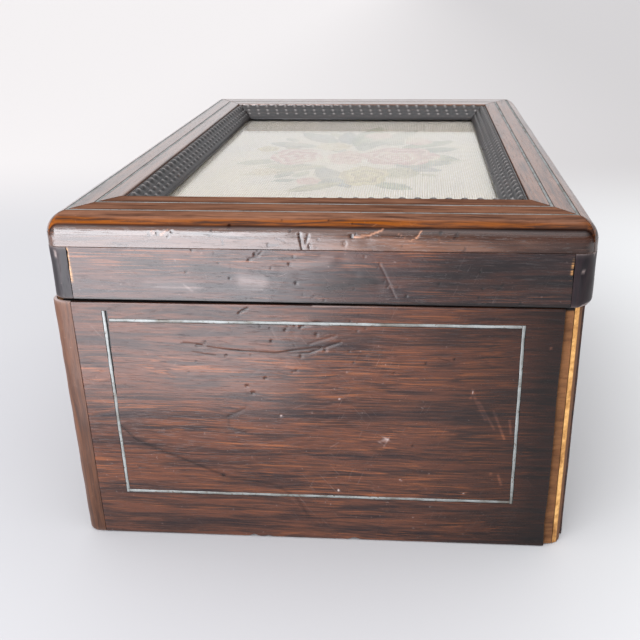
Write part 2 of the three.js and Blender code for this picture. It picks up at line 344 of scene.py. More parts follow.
@dataclass(frozen=True)
class Finish:
    """A finish whose node material is made once."""

    name: str

    @cache
    def material(self) -> bpy.types.Material:
        """Make the material.

        Returns:
            A node material with one Principled shader.
        """
        material = bpy.data.materials.new(self.name)
        material.use_nodes = True
        material.node_tree.nodes.clear()
        bench = NodeBench(material.node_tree)
        shader = bench.add("ShaderNodeBsdfPrincipled")
        bench.add("ShaderNodeOutputMaterial", {0: shader.outputs[0]})
        bench.feed(shader, self.looks(bench))
        return material

    def looks(self, bench: NodeBench) -> dict[str, object]:
        """Set out the nodes of the finish.

        Args:
            bench: The material's bench.

        Returns:
            Values or linked outputs for the shader's inputs.
        """
        raise NotImplementedError


# Dark colour multiplied in where the tone layer is below 0: dark worn marks and painted shade.
DARK_WEAR_AND_SHADE = linear(96, 82, 82)
GRAIN_LAYERS = ((6.0, 0.22, 3.0), (20.0, 1.0, 6.0), (70.0, 4.0, 3.0), (38.0, 6.0, 2.0), (160.0, 8.0, 2.0))


@dataclass(frozen=True)
class Timber(Finish):
    """Polished or bare wood with streaks, pores, fine scratches, worn marks, and painted highlights and shade
    from its tone layer.
    """

    grain: Grain
    deep: tuple
    body: tuple
    warm: tuple
    ember: tuple = linear(150, 88, 50)
    pale: tuple = linear(196, 176, 170)
    roughness: float = 0.4
    specular: float = 0.35
    streak: float = 300.0
    figure: float = 0.006
    pores: float = 0.35
    lines: float = 0.42
    scratches: float = 0.1
    gold: tuple = linear(116, 62, 18)
    offset: Triple = (0.0, 0.0, 0.0)
    coat: float = 0.0
    stain: tuple | None = None

    def looks(self, bench: NodeBench) -> dict[str, object]:
        """Set out the wood from Object coordinates and the layers wear, gold and shine.

        Args:
            bench: The material's bench.

        Returns:
            Values or linked outputs for the shader's inputs.
        """
        place = bench.place()
        sockets = {"Vector": place, "Location": self.offset, "Rotation": self.grain.value}
        turned = bench.add("ShaderNodeMapping", sockets).outputs[0]
        sway = bench.times(bench.plus(bench.noise(turned, (11.0, 26.0, 26.0), 2.0), -0.5), self.figure)
        swayed = bench.add("ShaderNodeCombineXYZ", {0: 0.0, 1: sway, 2: sway}).outputs[0]
        bent = bench.add("ShaderNodeVectorMath", {0: turned, 1: swayed}, operation="ADD").outputs[0]
        broad, streaks, threads, fibres, pits = (
            bench.noise(bent, (along, self.streak * across, self.streak * across), detail)
            for along, across, detail in GRAIN_LAYERS
        )
        blend = bench.plus(bench.times(streaks, 0.45), bench.times(threads, 0.35))
        blend = bench.plus(blend, bench.times(broad, 0.2))
        colour = bench.ramp(
            bench.band(blend, 0.34, 0.66),
            [(0.0, self.deep), (0.42, self.body), (0.78, self.warm), (1.0, self.body)],
        )
        clear = bench.times(bench.band(fibres, 0.53, 0.66), bench.band(broad, 0.40, 0.62))
        colour = bench.mix(bench.times(clear, self.lines), colour, self.ember)
        golden = bench.mix(bench.band(blend, 0.43, 0.56), self.deep, self.gold)
        colour = bench.mix(bench.layer("gold"), colour, golden)
        pore = bench.band(pits, 0.56, 0.68)
        colour = bench.mix(bench.times(pore, self.pores), colour, self.deep)
        colour = self.scratch(bench, place, turned, colour)
        # The tone layer: pale above 0 and dark below. Beside worn marks it carries painted highlights and
        # sheen (ripple crests, a pale top edge, patches on the lid wall) and painted shade (the lid's gap,
        # the right-hand darkening, ripple valleys).
        wear = bench.layer("wear")
        colour = bench.mix(bench.band(wear, 0.0, 1.0), colour, self.pale)
        dark = bench.band(bench.times(wear, -1.0), 0.0, 1.0)
        colour = bench.mix(dark, colour, DARK_WEAR_AND_SHADE, "MULTIPLY")
        # A tint from a level on one axis onward: on the boards it is painted shade in the lid's gap, on the
        # bare corner a darker facet.
        if self.stain:
            axis, low, high, tint = self.stain
            colour = bench.mix(bench.band(bench.axes(place)[axis], low, high), colour, tint)
        haze = bench.times(bench.plus(bench.noise(place, 14.0, 5.0), -0.5), 0.35)
        rough = bench.plus(bench.plus(haze, self.roughness), bench.times(pore, 0.2))
        shine = bench.layer("shine")
        gloss = bench.plus(bench.times(shine, 0.5), self.specular)
        relief = bench.math("SUBTRACT", bench.times(threads, 0.6), bench.times(pore, 0.8))
        return {
            "Base Color": colour,
            "Roughness": bench.math("SUBTRACT", rough, bench.times(shine, 0.16)),
            "Specular IOR Level": bench.math("MAXIMUM", gloss, 0.0),
            "Normal": bench.bump(relief, 0.16, 0.0002),
            "Coat Weight": self.coat,
            "Coat Roughness": 0.12,
        }

    def scratch(self, bench: NodeBench, place: Socket, turned: Socket, colour: Socket) -> Socket:
        """Lay fine pale scratches and specks over the colour.

        Args:
            bench: The material's bench.
            place: Object coordinates.
            turned: The same with the grain along X.
            colour: The colour so far.

        Returns:
            The scratched colour.
        """
        for angle, patch in ((1.15, 17.0), (-0.9, 23.0), (0.4, 31.0)):
            sockets = {"Vector": turned, "Rotation": (0.0, angle, 0.0)}
            tilted = bench.add("ShaderNodeMapping", sockets).outputs[0]
            hair = bench.band(bench.noise(tilted, (85.0, 400.0, 3200.0), 1.0), 0.70, 0.76)
            where = bench.band(bench.noise(place, patch, 2.0), 0.55, 0.66)
            colour = bench.mix(bench.times(bench.times(hair, where), self.scratches), colour, self.pale)
        specks = bench.band(bench.noise(place, 720.0, 1.0), 0.75, 0.79)
        return bench.mix(bench.times(specks, self.scratches), colour, self.pale)


def rosewood(name: str, grain: Grain, **changes: object) -> Timber:
    """Rosewood in its usual colours, with changes for one place.

    Args:
        name: The finish's name.
        grain: The grain's direction.
        changes: Other fields of the finish.

    Returns:
        The finish.
    """
    colours = tints((30, 22, 24), (56, 36, 30), (84, 50, 37))
    return Timber(name, grain, *colours, **{"roughness": 0.25, "specular": 0.38, **changes})


def bare_wood(name: str, grain: Grain, *colours: tuple[int, int, int], **changes: object) -> Timber:
    """Bare wood of the boards, with changes for one place.

    Args:
        name: The finish's name.
        grain: The grain's direction.
        colours: Its deep, middle and warm colour on the 0 to 255 scale.
        changes: Other fields of the finish.

    Returns:
        The finish.
    """
    usual = {"roughness": 0.75, "specular": 0.2, "streak": 90.0, "pores": 0.4, "lines": 0.1}
    return Timber(name, grain, *tints(*colours), **{**usual, **changes})


@dataclass(frozen=True)
class PaleMetal(Finish):
    """Dull pale metal for the strings, with tarnish and small scratches."""

    name: str = "dull_pale_metal"

    def looks(self, bench: NodeBench) -> dict[str, object]:
        """Set out the metal: patches of tarnish with small dark specks.

        Args:
            bench: The material's bench.

        Returns:
            Values or linked outputs for the shader's inputs.
        """
        place = bench.place()
        specks = bench.noise(place, 900.0, 2.0)
        stops = zip((0.0, 0.4, 1.0), tints((88, 85, 79), (112, 114, 112), (132, 135, 134)))
        colour = bench.ramp(bench.band(bench.noise(place, 110.0, 5.0), 0.3, 0.7), list(stops))
        return {
            "Base Color": bench.mix(bench.band(specks, 0.60, 0.70), colour, linear(78, 66, 54)),
            "Roughness": bench.plus(bench.times(specks, 0.3), 0.4),
            "Normal": bench.bump(specks, 0.3, 0.0001),
            "Metallic": 0.2,
        }


@dataclass(frozen=True)
class ClearGlass(Finish):
    """Old clear glass."""

    name: str = "clear_glass"

    def looks(self, bench: NodeBench) -> dict[str, object]:
        """Set out the glass, whose transmission is plain.

        Args:
            bench: The material's bench.

        Returns:
            Values or linked outputs for the shader's inputs.
        """
        waves = bench.noise(bench.place(), 18.0, 2.0)
        return {
            "Base Color": (1.0, 1.0, 1.0, 1.0),
            "Roughness": 0.0,
            "IOR": 1.25,
            "Specular IOR Level": 0.3,
            "Transmission Weight": 1.0,
            "Normal": bench.bump(waves, 0.05, 0.0005),
        }


@dataclass(frozen=True)
class Wool(Finish):
    """Twisted wool whose colour comes from each stitch."""

    name: str = "stitched_wool"

    def looks(self, bench: NodeBench) -> dict[str, object]:
        """Set out the wool, which reads the stitches' colours.

        Args:
            bench: The material's bench.

        Returns:
            Values or linked outputs for the shader's inputs.
        """
        place = bench.place()
        dye = bench.add("ShaderNodeAttribute", attribute_name="dye").outputs["Color"]
        fluff = bench.noise(place, (2600.0, 900.0, 900.0), 2.0)
        fading = bench.band(bench.noise(place, 30.0, 3.0), 0.35, 0.75)
        colour = bench.mix(fading, dye, linear(236, 228, 210))
        colour = bench.mix(bench.times(fluff, 0.12), colour, dye, "MULTIPLY")
        return {
            "Base Color": bench.mix(0.75, dye, colour),
            "Roughness": 0.9,
            "Specular IOR Level": 0.15,
            "Sheen Weight": 0.25,
            "Normal": bench.bump(fluff, 0.5, 0.0001),
        }


@dataclass(frozen=True)
class WovenCanvas(Finish):
    """Plain woven canvas under the stitches."""

    name: str = "woven_canvas"
    threads_per_metre: float = 950.0

    def looks(self, bench: NodeBench) -> dict[str, object]:
        """Set out the weave in Object coordinates.

        Args:
            bench: The material's bench.

        Returns:
            Values or linked outputs for the shader's inputs.
        """
        waves = []
        for axis in bench.axes(bench.place())[:2]:
            turns = bench.times(axis, self.threads_per_metre * math.pi)
            waves.append(bench.math("ABSOLUTE", bench.math("SINE", turns)))
        weave = bench.times(*waves)
        stops = zip((0.0, 1.0), tints((204, 190, 160), (236, 227, 204)))
        return {
            "Base Color": bench.ramp(weave, list(stops)),
            "Roughness": 0.95,
            "Specular IOR Level": 0.1,
            "Normal": bench.bump(weave, 0.6, 0.0003),
        }


@dataclass(frozen=True)
class StudioFloor(Finish):
    """Smooth pale floor with painted light and shade: painted light towards the right, painted shade at the
    front right, and a painted falloff behind that darkens towards the right.
    """

    name: str = "pale_floor"
    wall_line: float = 0.33

    def looks(self, bench: NodeBench) -> dict[str, object]:
        """Set out the floor in soft areas.

        Args:
            bench: The material's bench.

        Returns:
            Values or linked outputs for the shader's inputs.
        """
        place = bench.place()
        right, back, _ = bench.axes(place)
        cloud = bench.band(bench.noise(place, 2.0, 3.0), 0.3, 0.7)
        near = bench.mix(cloud, linear(172, 171, 173), linear(176, 175, 176))
        # Painted light: lighter towards the right, over the window lamp's shadow.
        near = bench.mix(bench.band(right, 0.0, 0.25), near, linear(199, 199, 198))
        front = bench.band(bench.times(back, -1.0), 0.30, 0.52)
        shade = bench.times(front, bench.band(right, -0.06, 0.24))
        near = bench.mix(shade, near, linear(124, 122, 124))
        # Painted falloff behind the wall line: darker towards the right.
        far = bench.mix(bench.band(right, -0.5, 0.5), linear(198, 194, 192), linear(170, 167, 166))
        beyond = bench.band(back, self.wall_line - 0.14, self.wall_line + 0.26)
        return {"Base Color": bench.mix(beyond, near, far), "Roughness": 0.6, "Specular IOR Level": 0.2}


def grid_faces(rows: int, columns: int, first: int = 0, ring: bool = False) -> list[tuple[int, ...]]:
    """Faces of a grid of points that are stored row by row.

    Args:
        rows: How many rows it has.
        columns: How many points each row has.
        first: The number of its first point.
        ring: True if each row closes on itself.

    Returns:
        Four corners for each face.
    """
    across = columns if ring else columns - 1
    row, column = np.meshgrid(np.arange(rows - 1), np.arange(across), indexing="ij")
    beside = (column + 1) % columns
    corners = [row * columns + column, row * columns + beside]
    corners += [(row + 1) * columns + beside, (row + 1) * columns + column]
    return list(map(tuple, (np.stack(corners, axis=-1).reshape(-1, 4) + first).tolist()))


def tube_faces(rows: int, columns: int) -> list[tuple[int, ...]]:
    """Faces of a tube that is closed at both ends.

    Args:
        rows: How many rings of points it has.
        columns: How many points each ring has.

    Returns:
        The corners of the faces round it and of its two ends.
    """
    last = (rows - 1) * columns
    ends = [tuple(range(columns)), tuple(range(last, last + columns))]
    return grid_faces(rows, columns, ring=True) + ends


def rim_numbers(rows: int, columns: int) -> list[int]:
    """Numbers of the points round the rim of a grid, in order.

    Args:
        rows: How many rows it has.
        columns: How many points each row has.

    Returns:
        The numbers.
    """
    number = np.arange(rows * columns).reshape(rows, columns)
    return np.concatenate([number[0], number[1:, -1], number[-1, -2::-1], number[-2:0:-1, 0]]).tolist()


def add_object(name: str, data: bpy.types.ID) -> bpy.types.Object:
    """Put a new object into the scene.

    Args:
        name: Its name.
        data: Its mesh, light or camera.

    Returns:
        The object.
    """
    thing = bpy.data.objects.new(name, data)
    bpy.context.scene.collection.objects.link(thing)
    return thing


def store(mesh: bpy.types.Mesh, name: str, values: np.ndarray) -> None:
    """Store a number or a colour at each point of a mesh.

    Args:
        mesh: The mesh.
        name: The layer's name.
        values: One number for each point, or a row of four for its colour.
    """
    plain = np.ascontiguousarray(values, dtype=np.float32)
    kind, key = ("FLOAT_COLOR", "color") if plain.ndim == 2 else ("FLOAT", "value")
    mesh.attributes.new(name, kind, "POINT").data.foreach_set(key, plain.ravel())


def smooth_mesh(mesh: bpy.types.Mesh, crease: float, merge: bool = False) -> None:
    """Turn a closed mesh's faces outwards and smooth it below a crease angle.

    Args:
        mesh: The mesh.
        crease: The angle in degrees.
        merge: True if points in one place become one.
    """
    turned = bmesh.new()
    turned.from_mesh(mesh)
    if merge:
        bmesh.ops.remove_doubles(turned, verts=turned.verts, dist=1e-6)
    bmesh.ops.recalc_face_normals(turned, faces=turned.faces)
    turned.to_mesh(mesh)
    turned.free()
    mesh.shade_smooth()
    mesh.set_sharp_from_angle(angle=math.radians(crease))


def make_piece(
    name: str,
    points: np.ndarray,
    faces: Sequence[Sequence[int]],
    material: bpy.types.Material,
    slot: str,
    replaced: Sequence[str] = (),
    crease: float = 32.0,
    **layers: np.ndarray,
) -> bpy.types.Object:
    """Make a mesh piece that rides on the box, with its faces turned outwards.

    Args:
        name: The piece's name.
        points: Its points in metres.
        faces: Its faces as numbers of points.
        material: Its material.
        slot: Not used.
        replaced: The CAD nodes that it stands for.
        crease: Angle in degrees above which an edge stays sharp.
        layers: Numbers at the points: the tone layer is pale above 0 and dark below, for worn marks and also
            for painted highlights and painted shade, gold is how far the dark finish is worn through to
            golden wood, and shine is glossier above 0 and duller below.

    Returns:
        The new object.
    """
    mesh = bpy.data.meshes.new(name)
    mesh.from_pydata(points.tolist(), [], faces)
    for layer, values in layers.items():
        store(mesh, layer, values)
    smooth_mesh(mesh, crease, merge=True)
    mesh.materials.append(material)
    piece = add_object(name, mesh)
    settle(piece, replaced)
    return piece


def settle(piece: bpy.types.Object, replaced: Sequence[str] = ()) -> None:
    """Let a piece ride on the box and stand for CAD nodes.

    Args:
        piece: The piece.
        replaced: The CAD nodes that it stands for.
    """
    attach(piece, BODY)
    if replaced:
        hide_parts(*replaced)
    LOG.info("%s: %d faces", piece.name, len(piece.data.polygons))


def dress_nodes(names: Sequence[str], material: bpy.types.Material) -> None:
    """Give CAD nodes that stay a better material.

    Args:
        names: The nodes' names.
        material: Their material.
    """
    for name in names:
        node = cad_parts[name]
        for holder in node.material_slots:
            holder.material = material
        LOG.info("%s: dressed", name)


@dataclass(frozen=True)
class Mark:
    """A mark on a face along a line of points: a pit, dent, scratch, stained patch or pale scuff, or a band
    of painted shade, painted sheen or painted highlight.
    """

    path: tuple[Pair, ...]
    width: float
    depth: float = 0.0
    tone: float = 0.0

    def weight(self, x: np.ndarray, z: np.ndarray) -> np.ndarray:
        """How strongly the mark shows at points of the face.

        Args:
            x: The points' places along the face.
            z: The points' heights.

        Returns:
            One on its line, falling to nothing over its width.
        """
        line = np.array(self.path, dtype=float)
        reach = 3 * self.width
        low, high = line.min(axis=0) - reach, line.max(axis=0) + reach
        near = (x > low[0]) & (x < high[0]) & (z > low[1]) & (z < high[1])
        found = np.zeros_like(x)
        if not near.any():
            return found
        here = np.stack([x[near], z[near]], axis=1)
        nearest = np.full(len(here), np.inf)
        starts, ends = (line[:-1], line[1:]) if len(line) > 1 else (line, line)
        for start, end in zip(starts, ends):
            step = end - start
            share = np.clip((here - start) @ step / max(step @ step, 1e-9), 0, 1)
            away = np.linalg.norm(here - start - share[:, None] * step, axis=1)
            nearest = np.minimum(nearest, away)
        found[near] = np.exp(-((nearest / self.width) ** 2))
        return found

    def lowered(self, lift: float) -> "Mark":
        """The same mark with its heights counted from a level that is higher by lift."""
        return replace(self, path=tuple((x, z - lift) for x, z in self.path))


def spots(places: Sequence[Pair], size: float, depth: float, tone: float) -> list[Mark]:
    """Round pits or specks of one kind.

    Args:
        places: Where they are on the face.
        size: Their radius.
        depth: How deep they are.
        tone: How pale or dark they are.

    Returns:
        The marks.
    """
    return [Mark((place,), size, depth, tone) for place in places]


def fade(value: np.ndarray, start: float, span: float) -> np.ndarray:
    """Grow from 0 at a start to 1 where it is passed by a span, which points down if it is negative."""
    return np.clip((value - start) / span, 0, 1)


def scattered_marks(seed: int, count: int, low: Pair, high: Pair) -> tuple[Mark, ...]:
    """Small pits, dents and fine scratches strewn over part of a face.

    Args:
        seed: Seed of the random draws.
        count: How many there are.
        low: Lowest place along the face and lowest height.
        high: Highest place along the face and highest height.

    Returns:
        The marks.
    """
    draw = np.random.default_rng(seed)
    marks = []
    for _ in range(count):
        x, z = draw.uniform(low, high)
        kind = draw.random()
        size = draw.uniform(0.5, 1.0)
        if kind < 0.45:
            marks.append(Mark(((x, z),), 0.5 * size, 0.16 * size, -0.7))
        elif kind < 0.6:
            marks.append(Mark(((x, z),), 2.6 * size, 0.07 * size))
        else:
            run, rise = draw.uniform(-5, 5), draw.uniform(-3, 3)
            tone = 0.18 if draw.random() < 0.6 else -0.35
            marks.append(Mark(((x, z), (x + run, z + rise)), 0.32, 0.03, tone * size))
    return tuple(marks)


def wear_of(marks: Sequence[Mark], x: np.ndarray, z: np.ndarray) -> tuple[np.ndarray, np.ndarray]:
    """Add up what marks do to a face.

    Args:
        marks: The marks.
        x: The points' places along the face.
        z: The points' heights.

    Returns:
        How far each point lies in, and its tone.
    """
    depth, tone = np.zeros_like(x), np.zeros_like(x)
    for mark in marks:
        weight = mark.weight(x, z)
        depth += mark.depth * weight
        tone += mark.tone * weight
    return depth, tone


@dataclass
class VeneerSheet:
    """A sheet of veneer between two beads, with grooves for its strings and the wear of its face."""

    name: str
    node: str
    side: Side
    seat: Seat
    height: float
    finish: Timber
    strips: Sequence[Four] = ()
    marks: Sequence[Mark] = ()
    chips: Sequence[Mark] = ()
    left_loss: Sequence[Mark] = ()
    right_loss: Sequence[Mark] = ()
    spacing: float = 1.6
    edge_round: float = 0.2
    reach: float = 0.18
    ripple_seed: float = 0.0
    golds: Sequence[Mark] = ()

    def lines(self, low: float, high: float, cuts: Sequence[float]) -> np.ndarray:
        """Places of the grid's lines, with steep walls at the grooves' edges.

        Args:
            low: The first line.
            high: The last line.
            cuts: The grooves' edges.

        Returns:
            The places, from the lowest up.
        """
        count = max(2, round((high - low) / self.spacing))
        steps = np.linspace(low, high, count + 1)
        rounding = np.array([0.1, 0.3, 0.6]) * self.edge_round
        extra = np.concatenate([low + rounding, high - rounding])
        walls = np.concatenate([[cut - 0.01, cut + 0.01] for cut in cuts]) if len(cuts) else np.array([])
        lines = np.unique(np.concatenate([steps, extra, walls]))
        fixed = np.concatenate([extra, walls, [low, high]])
        keep = [v for v in lines if v in fixed or np.abs(fixed - v).min() > 0.12]
        return np.array(keep)

    def build(self) -> None:
        """Build the sheet as a closed solid."""
        half = SIZES.along(self.side) - SIZES.bead_width + self.reach
        face = -SIZES.out(self.side)
        cuts_x = sorted({edge for strip in self.strips for edge in (strip[0], strip[2])})
        cuts_z = sorted({edge for strip in self.strips for edge in (strip[1], strip[3])})
        x, z = np.meshgrid(self.lines(-half, half, cuts_x), self.lines(0, self.height, cuts_z))
        rows, columns = x.shape
        depth, tone = wear_of(self.marks, x, z)
        depth += 0.05 * (1 + np.sin(x * 0.11 + self.ripple_seed) * np.sin(z * 0.17 + self.ripple_seed * 2))
        edge = np.minimum.reduce([x + half, half - x, z, self.height - z])
        short = np.clip(self.edge_round - edge, 0, self.edge_round)
        depth += self.edge_round - np.sqrt(self.edge_round**2 - short**2)
        for left, bottom, right, top in self.strips:
            inside = (x > left) & (x < right) & (z > bottom) & (z < top)
            depth = np.where(inside, SIZES.groove_depth, depth)
            tone = np.where(inside, -1.0, tone)
        depth = np.clip(depth, 0, SIZES.veneer - 0.25)
        x, z = self.lose_edges(x, z, half)
        front = np.stack([x.ravel(), face + depth.ravel(), z.ravel()], axis=1)
        rim = rim_numbers(rows, columns)
        back = front[rim]
        back[:, 1] = face + SIZES.veneer
        middle = np.array([[0, face + SIZES.veneer, self.height / 2]])
        points = np.concatenate([front, back, middle])
        faces = grid_faces(rows, columns)
        first, hub, count = rows * columns, len(points) - 1, len(rim)
        for i in range(count):
            beside = (i + 1) % count
            faces.append((rim[i], rim[beside], first + beside, first + i))
            faces.append((first + i, first + beside, hub))
        placed = self.seat.place(points, self.side)
        layers = {"wear": tone, "gold": wear_of(self.golds, x, z)[1]}
        layers = {name: np.append(values.ravel(), np.zeros(count + 1)) for name, values in layers.items()}
        nodes, material = [self.node], self.finish.material()
        make_piece(
            self.name, placed, faces, material, "rosewood_panel", nodes, crease=40.0, **layers
        )

    def lose_edges(self, x: np.ndarray, z: np.ndarray, half: float) -> tuple[np.ndarray, np.ndarray]:
        """Pull the sheet's edges in where bits are lost.

        Args:
            x: The points' places along the face.
            z: The points' heights.
            half: Half the sheet's length.

        Returns:
            The new places and heights.
        """
        zone = 4.0
        for losses, sign in ((self.left_loss, -1), (self.right_loss, 1)):
            near = half - sign * x
            pull = sum((loss.depth * loss.weight(np.zeros_like(z), z) for loss in losses), np.zeros_like(x))
            x = x - sign * pull * np.clip(1 - near / zone, 0, 1)
        lift = sum((chip.depth * chip.weight(x, np.zeros_like(x)) for chip in self.chips), np.zeros_like(x))
        z = z + lift * np.clip(1 - z / zone, 0, 1)
        return x, z


@dataclass
class CornerBead:
    """An ebonised bead with a round outside, glued into the seat along a corner."""

    name: str
    node: str
    corner: tuple[int, int]
    seat: Seat
    height: float
    finish: Timber
    worn_foot: float = 0.0
    seed: int = 1
    dents: int = 5

    def outline(self) -> tuple[np.ndarray, np.ndarray]:
        """Plan of the bead as distances in from the two faces.

        Returns:
            The points, and for each the way in which it wears back.
        """
        edge = SIZES.bead_width - SIZES.joint
        skin = SIZES.veneer
        radius = SIZES.bead_radius
        angles = np.linspace(0, math.pi / 2, 15)
        arc = np.stack([radius * (1 - np.sin(angles)), radius * (1 - np.cos(angles))], axis=1)
        inwards = np.stack([np.sin(angles), np.cos(angles)], axis=1)
        shoulder_x, shoulder_y = SIZES.seat_shoulder
        gap = SIZES.joint
        seat = [(0, edge), (skin, edge), (skin, SIZES.seat_heel - gap), (shoulder_x - gap, shoulder_y - gap)]
        seat += [(SIZES.lap - gap, SIZES.seat_knee - gap), (edge, skin)]
        points = np.concatenate([[(edge, 0)], arc, seat])
        wears = np.concatenate([[(0, 1)], inwards, [(1, 0)], np.zeros((5, 2))])
        return points, wears

    def build(self) -> None:
        """Build the bead."""
        draw = np.random.default_rng(self.seed)
        plan, wears = self.outline()
        count = len(plan)
        spacing = 1.5
        inner = np.linspace(0.8, self.height - 0.8, max(4, round(self.height / spacing)))
        levels = np.concatenate([[0, 0.15, 0.4], inner, self.height - np.array([0.4, 0.15, 0])])
        if self.worn_foot:
            levels = np.union1d(levels, np.linspace(0.6, self.worn_foot, 6))
        angle = np.arctan2(wears[:, 0], wears[:, 1])
        dents = draw.uniform([0, 0, 1.0, 0.1], [self.height, 1.5, 3.0, 0.45], size=(self.dents, 4))
        rings, tones = [], []
        for level in levels:
            near_end = min(level, self.height - level)
            back = 0.4 - math.sqrt(max(0.16 - max(0.4 - near_end, 0) ** 2, 0))
            wear = np.full(count, back) + 0.06 * (1 + np.sin(level * 0.35 + self.seed + angle * 2))
            if self.worn_foot and level < self.worn_foot:
                short = self.worn_foot - level
                worn = self.worn_foot - math.sqrt(max(self.worn_foot**2 - short**2, 0))
                wear += worn * np.clip(np.sin(angle) * 1.3, 0, 1)
            for place, turn, size, depth in dents:
                wear += depth * np.exp(-(((level - place) / size) ** 2) - ((angle - turn) / 0.25) ** 2)
            rings.append(plan + wears * wear[:, None])
            edge_tone = 0.25 * math.exp(-near_end / 0.8)
            tones.append(np.full(count, edge_tone) + 0.3 * (wear > 0.3))
        sign_x, sign_y = self.corner
        flat = np.concatenate(rings)
        heights = np.repeat(levels, count)
        x = sign_x * (SIZES.half_width - flat[:, 0])
        y = sign_y * (SIZES.half_depth - flat[:, 1])
        points = self.seat.place(np.stack([x, y, heights], axis=1))
        faces = tube_faces(len(levels), count)
        material, wear = self.finish.material(), np.concatenate(tones)
        make_piece(
            self.name, points, faces, material, "corner_bead", [self.node], crease=45.0, wear=wear
        )


